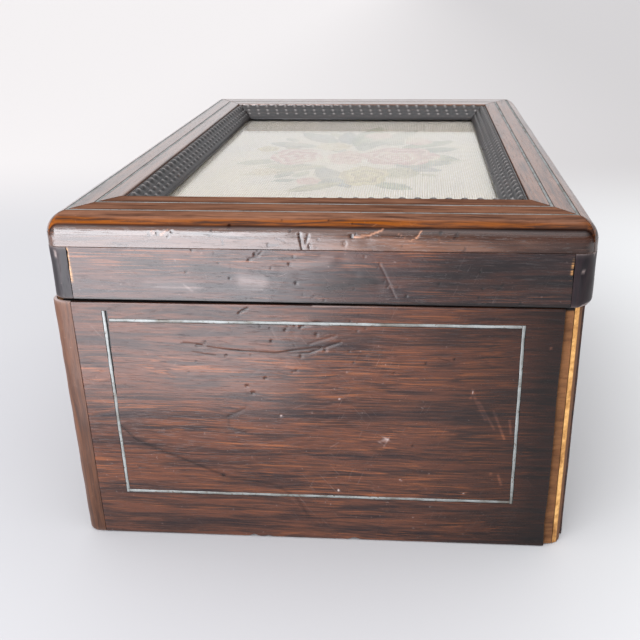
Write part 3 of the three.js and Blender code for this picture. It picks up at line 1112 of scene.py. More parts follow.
@dataclass
class FrameMember:
    """A mitred member of the lid's frame, rounded over outside and grooved for two strings."""

    side: Side
    finish: Timber
    marks: Sequence[Mark] = ()
    nicks: Sequence[Mark] = ()
    spacing: float = 2.0
    corner_steps: int = 8
    play: float = 0.25
    mitre_gap: float = 0.25

    def string_insets(self) -> Pair:
        """Distances of the two strings from the outer edge."""
        return SIZES.end_strings if self.side.is_end else SIZES.side_strings

    @property
    def width(self) -> float:
        """The member's width."""
        return SIZES.frame_end if self.side.is_end else SIZES.frame_side

    def mitre(self, inset: np.ndarray) -> np.ndarray:
        """How far short of the corner the member ends.

        Args:
            inset: Distances in from its outer edge.

        Returns:
            The lengths that are missing there.
        """
        end = [0.0, SIZES.mitre_knee, SIZES.end_strings[1], SIZES.frame_end]
        side = [0.0, SIZES.mitre_knee, SIZES.side_strings[1], SIZES.frame_side]
        own, other = (end, side) if self.side.is_end else (side, end)
        return np.interp(inset, own, other)

    def top(self, inset: float) -> float:
        """Height of the upper face at a distance in from the edge."""
        short = max(SIZES.frame_round - inset, 0)
        return SIZES.frame_thickness - SIZES.frame_round + math.sqrt(SIZES.frame_round**2 - short**2)

    def profile(self) -> np.ndarray:
        """The member's outline across its width, from the foot outside to the foot inside.

        Returns:
            Distances in from the edge and heights over the frame's underside.
        """
        shoulder = SIZES.frame_thickness - SIZES.frame_round
        points = [(0.15, 0.0), (0.0, 0.15)]
        points += [(0.0, z) for z in np.linspace(0.6, shoulder, 6)]
        grooves = self.string_insets()
        half = SIZES.string_width / 2 + self.play
        for angle in np.linspace(0, math.pi / 2, 25)[1:]:
            inset = SIZES.frame_round * (1 - math.cos(angle))
            points.append((inset, self.top(inset)))
        points += [(inset, SIZES.frame_thickness) for inset in np.arange(9.2, self.width - 0.5, 0.9)]
        points = [p for p in points if all(abs(p[0] - g) > half + 0.12 for g in grooves)]
        for groove in grooves:
            low, high = groove - half, groove + half
            floor = self.top(low) - SIZES.string_play - SIZES.groove_depth
            points += [(low, self.top(low)), (low + 0.02, floor)]
            points += [(high - 0.02, floor), (high, self.top(high))]
        points.sort(key=lambda p: (round(p[0], 3), p[1]))
        edge = 0.4
        for angle in np.linspace(0, math.pi / 2, 4):
            rise = SIZES.frame_thickness - edge * (1 - math.cos(angle))
            points.append((self.width - edge * (1 - math.sin(angle)), rise))
        points[0], points[1] = (0.15, 0.0), (0.0, 0.15)
        points.append((self.width, 0.0))
        return np.array(points)

    def build(self) -> None:
        """Build the member."""
        profile = self.profile()
        inset, rise = profile[:, 0], profile[:, 1]
        along, out = SIZES.along(self.side), SIZES.out(self.side)
        radius = np.clip(SIZES.bead_radius - inset, 0, None)
        reach = self.mitre(inset)
        start = np.maximum(SIZES.bead_radius, reach + 1.0)
        line = start - inset - radius
        line = np.where(radius > 0, line, start - reach)
        bow = radius * math.pi / 4
        middle = np.linspace(-1, 1, max(8, round(2 * along / self.spacing)) + 1)
        rows = []
        for share in middle:
            rows.append((share * (along - start), np.zeros_like(inset)))
        ends = []
        for step in range(1, self.corner_steps + 1):
            run = (line + bow) * step / self.corner_steps
            angle = np.where(radius > 0, np.clip(run - line, 0, None) / np.maximum(radius, 1e-6), 0)
            forward = np.minimum(run, line) + radius * np.sin(angle)
            inward = radius * (1 - np.cos(angle))
            gap = self.mitre_gap * step / self.corner_steps
            ends.append((along - start + forward - gap, inward))
        rows = [(-x, y) for x, y in reversed(ends)] + rows + ends
        x = np.stack([row[0] for row in rows])
        y = np.stack([row[1] for row in rows]) + inset
        z = np.broadcast_to(rise, x.shape).copy()
        x, y, z, tone = self.weather(x, y, z)
        raised = z + SIZES.frame_foot
        flat = np.stack([x.ravel(), (y - out).ravel(), raised.ravel()], axis=1)
        points = LID_SEAT.place(flat, self.side)
        faces = tube_faces(len(rows), len(profile))
        node = f"lid_{self.side.value}_frame"
        gold, shine = self.worn_gold(x, y, z)
        layers = {"wear": tone.ravel(), "gold": gold.ravel(), "shine": shine.ravel()}
        name, material = f"{node}_member", self.finish.material()
        make_piece(name, points, faces, material, "rosewood_frame", [node], crease=38.0, **layers)

    def worn_gold(self, x: np.ndarray, y: np.ndarray, z: np.ndarray) -> tuple[np.ndarray, np.ndarray]:
        """How golden and how shiny the member is where hands have worn it.

        Args:
            x: The points' places along the member.
            y: Their distances in from the edge.
            z: Their heights.

        Returns:
            From 0, stained, to 1, worn to golden wood, and from -1, dull, to 1, polished.
        """
        lean = np.degrees(np.arccos(1 - np.clip(y / SIZES.frame_round, 0, 1)))
        lean = np.where(z < SIZES.frame_thickness - SIZES.frame_round, 0, lean)
        wander = 2.5 * np.sin(x * 0.043 + 0.4) + 1.5 * np.sin(x * 0.117)
        rise = fade(lean - wander * 0.4, 33, 4) * fade(lean - wander, 57, -7)
        patchy = 0.86 + 0.14 * np.sin(x * 0.09) * np.sin(x * 0.031 + 1.0)
        along = SIZES.along(self.side)
        corner = fade(np.abs(x), along - 9, 5) * fade(lean, 14, 8) * fade(lean, 62, -8)
        low = fade(lean, 13, -8) * fade(x, -3.6, 18) * fade(x, along - 14, -8)
        low *= np.clip(np.sin(x * 0.19 + 0.5 * z) + 0.6 * np.sin(x * 0.43 + z) - 0.2, 0, 1)
        gold = np.maximum.reduce([rise * patchy, 0.8 * corner, 0.36 * low])
        if self.side is not Side.FRONT:
            return gold, np.zeros_like(gold)
        shine = np.interp(lean, [0, 26, 33, 90], [1.0, 1.0, -0.7, -0.7])
        return gold, shine

    def weather(
        self, x: np.ndarray, y: np.ndarray, z: np.ndarray
    ) -> tuple[np.ndarray, np.ndarray, np.ndarray, np.ndarray]:
        """Press the marks into the outer face and the top, darken the outer face with a line of painted shade
        on the round-over, and darken the grooves.

        Args:
            x: The points' places along the member.
            y: Their distances in from the edge.
            z: Their heights.

        Returns:
            The new places, distances and heights, and each point's tone.
        """
        depth, tone = wear_of(self.marks, x, z)
        outside = y < SIZES.frame_round * 0.6
        lean = np.arccos(1 - np.clip(y / SIZES.frame_round, 0, 1))
        depth, tone = depth * outside, tone * outside
        nick, nick_tone = wear_of(self.nicks, x, y)
        upper = z > SIZES.frame_thickness - SIZES.frame_round
        depth, tone = depth + nick * upper, tone + nick_tone * upper
        floor = np.zeros_like(z, dtype=bool)
        for groove in self.string_insets():
            inside = np.abs(y - groove) < SIZES.string_width / 2 + self.play - 0.01
            floor |= inside & (z > SIZES.frame_thickness - 3)
        degrees = np.where(upper, np.degrees(lean), 0)
        # Darker over the outer face and the lower round-over; the darkest line, about 32 degrees up the
        # round-over, is painted shade where its reflection turns dark.
        stained = np.interp(degrees, [0, 26, 32, 40], [-0.66, -0.66, -1.0, 0.0])
        if self.side is Side.FRONT:
            bare = fade(degrees, 14, -8) * fade(x, -6, 20) * fade(x, 84, -20)
            cloudy = 0.6 + 0.4 * np.sin(x * 0.19 + 0.5 * z) * np.sin(x * 0.07)
            stained = stained * (1 - 0.55 * bare * cloudy)
        tone = np.where(tone < 0.1, tone + stained, tone)
        tone = np.where(floor, -1.0, tone)
        depth = np.where(floor, 0, depth)
        wave = 0.05 * (1 + np.sin(x * 0.09 + self.side.number))
        worn = outside & (z > 0.2)
        depth = depth + wave * worn
        return x, y + depth * np.cos(lean), z - depth * np.sin(lean), tone


@dataclass
class InlayStrip:
    """A thin strip of pale metal that lies in its groove and wanders a little."""

    name: str
    node: str
    side: Side
    start: Pair
    end: Pair
    seed: int
    wander: float = 0.06
    spacing: float = 1.5
    thickness: float = 0.6
    rounding: float = 0.12

    def build(self) -> None:
        """Build the strip."""
        draw = np.random.default_rng(self.seed)
        start, end = np.array(self.start), np.array(self.end)
        length = float(np.linalg.norm(end - start))
        run = (end - start) / length
        across = np.array([-run[1], run[0]])
        steps = max(8, round(length / self.spacing))
        share = np.linspace(0, 1, steps + 1)
        place = start + share[:, None] * (end - start)
        phases = draw.uniform(0, 6.28, 6)
        metres = share * length
        drift = np.sin(metres * 0.21 + phases[0]) + 0.6 * np.sin(metres * 0.63 + phases[1])
        centre = self.wander * drift / 1.6
        thin = 0.5 * SIZES.panel_string_width * (0.97 + 0.05 * np.sin(metres * 0.45 + phases[2]))
        thin = thin - 0.03 * draw.random(len(share))
        proud = 0.05 + 0.05 * np.sin(metres * 0.3 + phases[3])
        face = -SIZES.out(self.side)
        corners = []
        for side_sign, deep in ((-1, 0), (-0.75, 1), (0.75, 1), (1, 0), (1, -1), (-1, -1)):
            offset = centre + side_sign * thin
            flat = place + offset[:, None] * across
            if deep == -1:
                y = np.full(len(share), face + SIZES.string_play + self.thickness)
            else:
                y = face + SIZES.string_play + self.rounding - self.rounding * deep - proud
            corners.append(np.stack([flat[:, 0], y, flat[:, 1]], axis=1))
        points = np.stack(corners, axis=1).reshape(-1, 3)
        faces = tube_faces(len(share), len(corners))
        placed = BASE_SEAT.place(points, self.side)
        material = PaleMetal().material()
        make_piece(self.name, placed, faces, material, "metal_string", [self.node], crease=50.0)


@dataclass
class GeometryTree:
    """A Geometry Nodes tree with named inputs, laid out in order."""

    name: str
    tree: bpy.types.NodeTree = field(init=False)
    bench: NodeBench = field(init=False)
    source: bpy.types.Node = field(init=False)

    def __post_init__(self) -> None:
        """Make the empty tree with its geometry in and out."""
        self.tree = bpy.data.node_groups.new(self.name, "GeometryNodeTree")
        self.tree.interface.new_socket("Geometry", in_out="INPUT", socket_type="NodeSocketGeometry")
        self.tree.interface.new_socket("Geometry", in_out="OUTPUT", socket_type="NodeSocketGeometry")
        self.bench = NodeBench(self.tree)
        self.source = self.bench.add("NodeGroupInput")

    def size(self, name: str, value: float) -> Socket:
        """Add a named number to the tree's inputs.

        Args:
            name: The input's name.
            value: What it is if nothing else is set.

        Returns:
            The number's socket.
        """
        socket = self.tree.interface.new_socket(name, in_out="INPUT", socket_type="NodeSocketFloat")
        socket.default_value = value
        return self.source.outputs[name]

    def close(self, geometry: Socket, material: bpy.types.Material) -> None:
        """End the tree with Realize Instances and Set Material.

        Args:
            geometry: The finished geometry.
            material: The material of all of it.
        """
        real = self.bench.add("GeometryNodeRealizeInstances", {0: geometry})
        sockets = {"Geometry": real.outputs[0], "Material": material}
        dressed = self.bench.add("GeometryNodeSetMaterial", sockets)
        self.bench.add("NodeGroupOutput", {0: dressed.outputs[0]})

    def grow(self, seedling: bpy.types.Object, name: str, sizes: dict[str, float]) -> bpy.types.Object:
        """Run the tree on an object and keep the result as a plain mesh.

        Args:
            seedling: The object that the tree starts from, which is deleted.
            name: The new piece's name.
            sizes: Values for the named inputs.

        Returns:
            A new object with a plain mesh.
        """
        modifier = seedling.modifiers.new(self.name, "NODES")
        modifier.node_group = self.tree
        for item in self.tree.interface.items_tree:
            if item.item_type == "SOCKET" and item.in_out == "INPUT" and item.name in sizes:
                modifier[item.identifier] = sizes[item.name]
        seedling.update_tag()
        graph = bpy.context.evaluated_depsgraph_get()
        grown = bpy.data.meshes.new_from_object(seedling.evaluated_get(graph), depsgraph=graph)
        seedling.modifiers.remove(modifier)
        bpy.data.objects.remove(seedling)
        grown.name = name
        return add_object(name, grown)


@dataclass
class RippleMoulding:
    """An ebonised moulding with two rows of ripples, which slopes down to the glass."""

    side: Side
    tree: GeometryTree
    per_wave: int = 12
    droop: float = 0.0
    outer_depth: float = 1.2
    inner_depth: float = 0.9
    lean: float = 0.4

    def profile(self) -> np.ndarray:
        """The moulding's upper outline without ripples.

        Returns:
            Distances in from the opening, heights from the frame's top, and each point's shares of the
            outer and the inner row's ripples.
        """
        width, fall = SIZES.ripple_width, SIZES.ripple_fall
        points = [(SIZES.joint, -0.13, 0, 0), (0.10 * width, -0.13, 0, 0), (0.12 * width, -0.17, 0, 0)]
        rows = ((0.13, 0.46, -0.17, -0.36, 0.19, 8), (0.49, 0.70, -0.42, -0.60, 0.10, 6))
        rows += ((0.73, 0.88, -0.66, -0.82, 0.07, 5),)
        for start, end, high, low, proud, steps in rows:
            for share in np.linspace(0, 1, steps):
                bulge = math.sin(share * math.pi) ** 0.8
                outer = bulge if start < 0.2 else 0
                height = high + (low - high) * share + proud * bulge
                points.append((start * width + (end - start) * share * width, height, outer, bulge - outer))
        points += [(0.91 * width, -0.88, 0, 0), (width, -1.0, 0, 0)]
        outline = np.array(points, dtype=float)
        outline[:, 1] *= fall
        return outline

    def build(self) -> None:
        """Build the moulding: plain first, then rippled by the tree."""
        opening = SIZES.opening if self.side.is_end else SIZES.opening[::-1]
        along, out = opening[0] - SIZES.joint, opening[1]
        profile = self.profile()
        foot = SIZES.frame_thickness - SIZES.ripple_foot
        section = [(p[0], p[1] + SIZES.frame_thickness, p[2], p[3]) for p in profile]
        section += [(SIZES.ripple_width, foot, 0, 0), (SIZES.joint, foot, 0, 0)]
        section = np.array(section)
        waves = round(2 * along / SIZES.ripple_pitch)
        run = np.linspace(-along, along, waves * self.per_wave + 1)
        x = np.broadcast_to(run[:, None], (len(run), len(section))).copy()
        inset, rise = section[:, 0], section[:, 1]
        gap = 0.1
        limit = along - inset - gap + SIZES.joint
        x = x * (limit / along)[None, :]
        y = np.broadcast_to(inset - out, x.shape)
        z = np.broadcast_to(rise + SIZES.frame_foot, x.shape).copy()
        low_end = fade(run, 0.35 * along, -along)
        z[:, : len(profile)] -= self.droop * low_end[:, None]
        points = LID_SEAT.place(np.stack([x.ravel(), y.ravel(), z.ravel()], axis=1), self.side)
        mesh = bpy.data.meshes.new("plain_moulding")
        mesh.from_pydata(points.tolist(), [], tube_faces(len(run), len(section)))
        layers = {"run": x * MM, "inset": inset * MM, "outer_row": section[:, 2], "inner_row": section[:, 3]}
        for name, values in layers.items():
            store(mesh, name, np.broadcast_to(values, x.shape).ravel())
        sizes = {"Pitch": SIZES.ripple_pitch * MM, "Lean": self.lean}
        sizes |= {"Outer Depth": self.outer_depth * MM, "Inner Depth": self.inner_depth * MM}
        seedling = add_object("plain_moulding", mesh)
        piece = self.tree.grow(seedling, f"lid_{self.side.value}_rippled_moulding", sizes)
        smooth_mesh(piece.data, crease=50.0)
        settle(piece, [f"lid_{self.side.value}_ripple_moulding"])

    @staticmethod
    def ripple_tree(material: bpy.types.Material) -> GeometryTree:
        """Make the tree that raises two rows of ripples on a plain moulding, with a painted highlight on
        their crests and painted shade in their valleys.

        Args:
            material: The moulding's material.

        Returns:
            The tree.
        """
        tree = GeometryTree("ripples_on_moulding")
        pitch, outer = tree.size("Pitch", 0.006), tree.size("Outer Depth", 0.0008)
        inner, lean = tree.size("Inner Depth", 0.0004), tree.size("Lean", 0.8)
        bench = tree.bench

        run, inset, outer_row, inner_row = (
            bench.add("GeometryNodeInputNamedAttribute", {"Name": name}, data_type="FLOAT").outputs[0]
            for name in ("run", "inset", "outer_row", "inner_row")
        )
        turns = bench.math("DIVIDE", bench.plus(run, bench.times(inset, lean)), pitch)
        wave = bench.math("SINE", bench.times(turns, 2 * math.pi))
        wave = bench.plus(bench.times(wave, 0.5), -0.2)
        lifts = [
            bench.times(bench.times(wave, depth), row)
            for row, depth in ((outer_row, outer), (inner_row, inner))
        ]
        offset = bench.add("ShaderNodeCombineXYZ", {2: bench.plus(*lifts)}).outputs[0]
        # Painted highlight and shade: the ripples' crests are stored pale and their valleys dark in the tone
        # layer.
        painted_crest_light = bench.times(bench.times(wave, 2.0), bench.plus(outer_row, inner_row))
        sockets = {"Geometry": tree.source.outputs[0], "Name": "wear", "Value": painted_crest_light}
        toned = bench.add("GeometryNodeStoreNamedAttribute", sockets, data_type="FLOAT", domain="POINT")
        moved = bench.add("GeometryNodeSetPosition", {"Geometry": toned.outputs[0], "Offset": offset})
        tree.close(moved.outputs[0], material)
        return tree


@dataclass(frozen=True)
class Bloom:
    """An open flower of the needlework: rings of curled petals in a few shades."""

    centre: Pair
    radius: Pair
    shades: tuple[tuple, ...]
    petals: int = 5
    turn: float = 0.0

    def shade(self, x: np.ndarray, y: np.ndarray) -> np.ndarray:
        """Number of the shade at each stitch.

        Args:
            x: The stitches' places across.
            y: The stitches' places in depth.

        Returns:
            The shade's number, or -1 outside the flower.
        """
        u, v = (x - self.centre[0]) / self.radius[0], (y - self.centre[1]) / self.radius[1]
        away, angle = np.hypot(u, v), np.arctan2(v, u) + self.turn
        rim = 0.82 + 0.18 * np.abs(np.cos(angle * self.petals / 2)) ** 0.6
        warp = 0.14 * np.sin(3 * u + 2 * v + self.turn) + 0.10 * np.sin(5 * v - 2 * u + 2 * self.turn)
        curl = 2.4 * away / rim + 0.20 * np.sin(angle * self.petals) + angle / (2 * math.pi) + warp
        layer = np.floor(curl)
        number = np.floor((curl - layer) * len(self.shades) * 0.999).astype(int)
        parted = np.abs(np.cos((angle + 0.7 * layer) * self.petals / 2)) < 0.16
        number = np.minimum(number + parted, len(self.shades) - 1)
        number = np.where(away < 0.14, len(self.shades) - 1, number)
        return np.where(away < rim, number, -1)


@dataclass(frozen=True)
class Leaf:
    """A pointed leaf of the needlework with a pale rib."""

    root: Pair
    tip: Pair
    width: float
    shades: tuple[tuple, ...]

    def shade(self, x: np.ndarray, y: np.ndarray) -> np.ndarray:
        """Number of the shade at each stitch.

        Args:
            x: The stitches' places across.
            y: The stitches' places in depth.

        Returns:
            The shade's number, or -1 outside the leaf.
        """
        start, end = np.array(self.root), np.array(self.tip)
        length = float(np.linalg.norm(end - start))
        run = (end - start) / length
        share = ((x - start[0]) * run[0] + (y - start[1]) * run[1]) / length
        side = (y - start[1]) * run[0] - (x - start[0]) * run[1]
        half = self.width / 2 * np.sin(np.clip(share, 0, 1) * math.pi) ** 0.7
        inside = (share > 0) & (share < 1) & (np.abs(side) < half)
        number = np.where(side > 0, 0, 1)
        number = np.where(np.abs(side) > 0.68 * half, 2, number)
        number = np.where(np.abs(side) < 0.55, 3, number)
        return np.where(inside, np.minimum(number, len(self.shades) - 1), -1)


PINKS = tints((236, 206, 200), (222, 168, 168), (202, 124, 132), (176, 88, 104))
BLUSHES = tints((240, 226, 216), (230, 200, 192), (214, 158, 156), (190, 112, 118))
YELLOWS = tints((226, 212, 150), (206, 188, 110), (178, 158, 84), (148, 122, 60))
CREAMS = tints((238, 230, 206), (222, 208, 172), (204, 186, 140), (180, 156, 108))
TEALS = tints((58, 92, 92), (80, 118, 112), (40, 68, 76), (128, 152, 138))
BLUES = tints((66, 86, 108), (92, 112, 130), (44, 60, 84), (132, 148, 158))
GREENS = tints((96, 122, 92), (124, 146, 110), (70, 98, 78), (158, 172, 134))
OLIVES = tints((140, 138, 92), (164, 160, 112), (112, 112, 74), (184, 180, 138))


@dataclass
class Needlework:
    """The canvas with its wool stitches: a bouquet of garden flowers on a cream ground."""

    pitch: float = 1.05
    canvas_thickness: float = 0.4
    seed: int = 11
    ground: tuple = linear(229, 223, 214)
    faded: float = 0.46
    blooms: Sequence[Bloom] = (
        Bloom((-26, 4), (14, 20), BLUSHES, 5, 0.4),
        Bloom((0, 2), (10, 16), PINKS, 5, 2.2),
        Bloom((27, 6), (21, 22), PINKS, 6, 1.1),
        Bloom((24, 4), (12, 13), BLUSHES, 5, 0.3),
        Bloom((28, -31), (9, 12), OLIVES, 5, 1.3),
        Bloom((11, -37), (12, 20), YELLOWS, 5, 2.0),
        Bloom((-9, 29), (10, 11), CREAMS, 5, 0.2),
        Bloom((-4, 29), (4, 4), YELLOWS, 5, 0.0),
        Bloom((-37, -30), (7, 8), CREAMS, 6, 0.7),
        Bloom((37, 43), (8, 9), BLUSHES, 5, 0.1),
        Bloom((-18, 54), (7, 9), BLUES, 5, 0.9),
        Bloom((14, 60), (8, 10), PINKS, 5, 1.7),
        Bloom((-44, 22), (6, 7), YELLOWS, 5, 0.5),
        Bloom((-14, -48), (6, 7), PINKS, 5, 0.9),
    )
    leaves: Sequence[Leaf] = (
        Leaf((-12, -20), (6, -60), 14, BLUES),
        Leaf((24, -14), (54, -8), 14, TEALS),
        Leaf((26, -18), (48, -26), 11, BLUES),
        Leaf((-8, -20), (-38, -20), 13, GREENS),
        Leaf((-10, -16), (-48, -38), 11, OLIVES),
        Leaf((-8, 36), (-30, 68), 14, TEALS),
        Leaf((-2, 34), (-4, 70), 12, BLUES),
        Leaf((2, 30), (14, 88), 14, GREENS),
        Leaf((8, 26), (36, 78), 13, TEALS),
        Leaf((-18, 28), (-46, 38), 13, TEALS),
        Leaf((28, 26), (56, 46), 13, GREENS),
        Leaf((36, 18), (58, 26), 12, TEALS),
        Leaf((-34, -6), (-54, -14), 11, GREENS),
        Leaf((16, -50), (34, -62), 11, GREENS),
        Leaf((42, 4), (58, -4), 10, GREENS),
        Leaf((2, -50), (-22, -68), 10, OLIVES),
        Leaf((-2, 14), (-12, 28), 9, BLUES),
        Leaf((6, 18), (10, 40), 10, TEALS),
    )
    sprig_count: int = 46
    sprig_middle: Pair = (3.0, 6.0)
    sprig_reach: Pair = (44.0, 62.0)

    def sprigs(self) -> list[Bloom | Leaf]:
        """Small leaves and buds that fill the bouquet's edge.

        Returns:
            The small motifs.
        """
        draw = np.random.default_rng(self.seed + 7)
        found = []
        for number in range(self.sprig_count):
            angle, share = draw.uniform(0, 2 * math.pi), draw.uniform(0.55, 1.0)
            x = self.sprig_middle[0] + self.sprig_reach[0] * share * math.cos(angle)
            y = self.sprig_middle[1] + self.sprig_reach[1] * share * math.sin(angle)
            kind, turn, length = draw.integers(0, 4), angle + draw.uniform(-0.8, 0.8), draw.uniform(9, 16)
            if number % 3:
                tip = (x + length * math.cos(turn), y + length * math.sin(turn))
                found.append(Leaf((x, y), tip, 0.42 * length, (GREENS, OLIVES, TEALS, GREENS)[kind]))
            else:
                size = 0.22 * length
                found.append(Bloom((x, y), (size, size), (PINKS, BLUES, YELLOWS, BLUSHES)[kind], 5, turn))
        return found

    def sheet(self) -> bpy.types.Object:
        """Build the canvas as one thin stretched sheet.

        Returns:
            The sheet.
        """
        half = [size - SIZES.joint for size in SIZES.opening]
        columns, rows = 32, 46
        x, y = np.meshgrid(np.linspace(-half[0], half[0], columns), np.linspace(-half[1], half[1], rows))
        sag = 0.04 * (1 + np.sin(x * 0.13) * np.sin(y * 0.09))
        level = SIZES.canvas_foot + self.canvas_thickness + sag
        top = np.stack([x.ravel(), y.ravel(), level.ravel()], axis=1)
        under = top - np.array([0, 0, self.canvas_thickness])
        faces = grid_faces(rows, columns) + grid_faces(rows, columns, first=len(top))
        rim = rim_numbers(rows, columns)
        for here, beside in zip(rim, rim[1:] + rim[:1]):
            faces.append((here, beside, len(top) + beside, len(top) + here))
        points = LID_SEAT.place(np.concatenate([top, under]))
        material = WovenCanvas().material()
        nodes = ["lid_needlepoint_canvas"]
        return make_piece("lid_stretched_canvas", points, faces, material, "needlepoint", nodes)

    def dyes(self, x: np.ndarray, y: np.ndarray) -> tuple[np.ndarray, np.ndarray]:
        """Colour of each stitch.

        Args:
            x: The stitches' places across.
            y: The stitches' places in depth.

        Returns:
            The colours, and which stitches belong to the bouquet.
        """
        draw = np.random.default_rng(self.seed)
        colour = np.tile(np.array(self.ground), (len(x), 1))
        colour[:, :3] *= draw.uniform(0.92, 1.05, (len(x), 1))
        worked = np.zeros(len(x), dtype=bool)
        for motif in [*self.sprigs(), *self.leaves, *self.blooms]:
            number = motif.shade(x, y)
            inside = number >= 0
            shades = np.array(motif.shades)
            colour[inside] = shades[number[inside]]
            worked |= inside
        colour[worked] = (1 - self.faded) * colour[worked] + self.faded * np.array(self.ground)
        colour[worked, :3] *= draw.uniform(0.9, 1.06, (int(worked.sum()), 1))
        colour[:, 3] = 1
        return colour, worked

    def build(self) -> None:
        canvas = self.sheet()
        margin = SIZES.ripple_width - 1.2
        half = [size - margin for size in SIZES.opening]
        counts = [int(size / self.pitch) for size in half]
        steps = [np.arange(-count, count + 1) * self.pitch for count in counts]
        x, y = (values.ravel() for values in np.meshgrid(*steps))
        colour, worked = self.dyes(x, y)
        tree = self.stitch_tree(Wool().material())
        for name, chosen in (("lid_ground_stitches", ~worked), ("lid_bouquet_stitches", worked)):
            seedling = self.seedling(x[chosen], y[chosen], colour[chosen])
            sizes = {"Length": 1.36 * self.pitch * MM, "Width": 0.74 * self.pitch * MM, "Height": 0.5 * MM}
            piece = tree.grow(seedling, name, {**sizes, "Unevenness": 0.12})
            piece.data.shade_smooth()
            settle(piece)

    def seedling(self, x: np.ndarray, y: np.ndarray, colour: np.ndarray) -> bpy.types.Object:
        """Points on the canvas, one for each stitch, with the stitch's colour.

        Args:
            x: The stitches' places across.
            y: The stitches' places in depth.
            colour: The stitches' colours.

        Returns:
            An object of loose points.
        """
        level = SIZES.canvas_foot + self.canvas_thickness + 0.22
        points = LID_SEAT.place(np.stack([x, y, np.full(len(x), level)], axis=1))
        mesh = bpy.data.meshes.new("stitch_places")
        mesh.from_pydata(points.tolist(), [], [])
        store(mesh, "dye", colour)
        return add_object("stitch_places", mesh)

    def stitch_tree(self, material: bpy.types.Material) -> GeometryTree:
        """Make the tree that lays a slanting tent stitch on every point.

        Args:
            material: The wool.

        Returns:
            The tree.
        """
        tree = GeometryTree("tent_stitches")
        length, width = tree.size("Length", 0.0014), tree.size("Width", 0.0007)
        height, uneven = tree.size("Height", 0.0006), tree.size("Unevenness", 0.1)
        bench = tree.bench
        grain = bench.add("GeometryNodeMeshUVSphere", {"Segments": 4, "Rings": 2, "Radius": 0.5})
        size = bench.add("ShaderNodeCombineXYZ", {0: length, 1: width, 2: height}).outputs[0]
        slant, sway = math.radians(45), 0.09
        size_range = (bench.math("SUBTRACT", 1.0, uneven), bench.plus(1.0, uneven))
        draws = []
        for seed, (least, most) in enumerate((size_range, (slant - sway, slant + sway)), self.seed):
            sockets = {"Seed": seed, 2: least, 3: most}
            draws.append(bench.add("FunctionNodeRandomValue", sockets, data_type="FLOAT").outputs[1])
        share, turn = draws
        scaled = bench.add("ShaderNodeVectorMath", {0: size, "Scale": share}, operation="SCALE")
        rotation = bench.add("ShaderNodeCombineXYZ", {2: turn}).outputs[0]
        sockets = {
            "Points": tree.source.outputs[0],
            "Instance": grain.outputs[0],
            "Rotation": rotation,
            "Scale": scaled.outputs[0],
        }
        laid = bench.add("GeometryNodeInstanceOnPoints", sockets)
        tree.close(laid.outputs[0], material)
        return tree


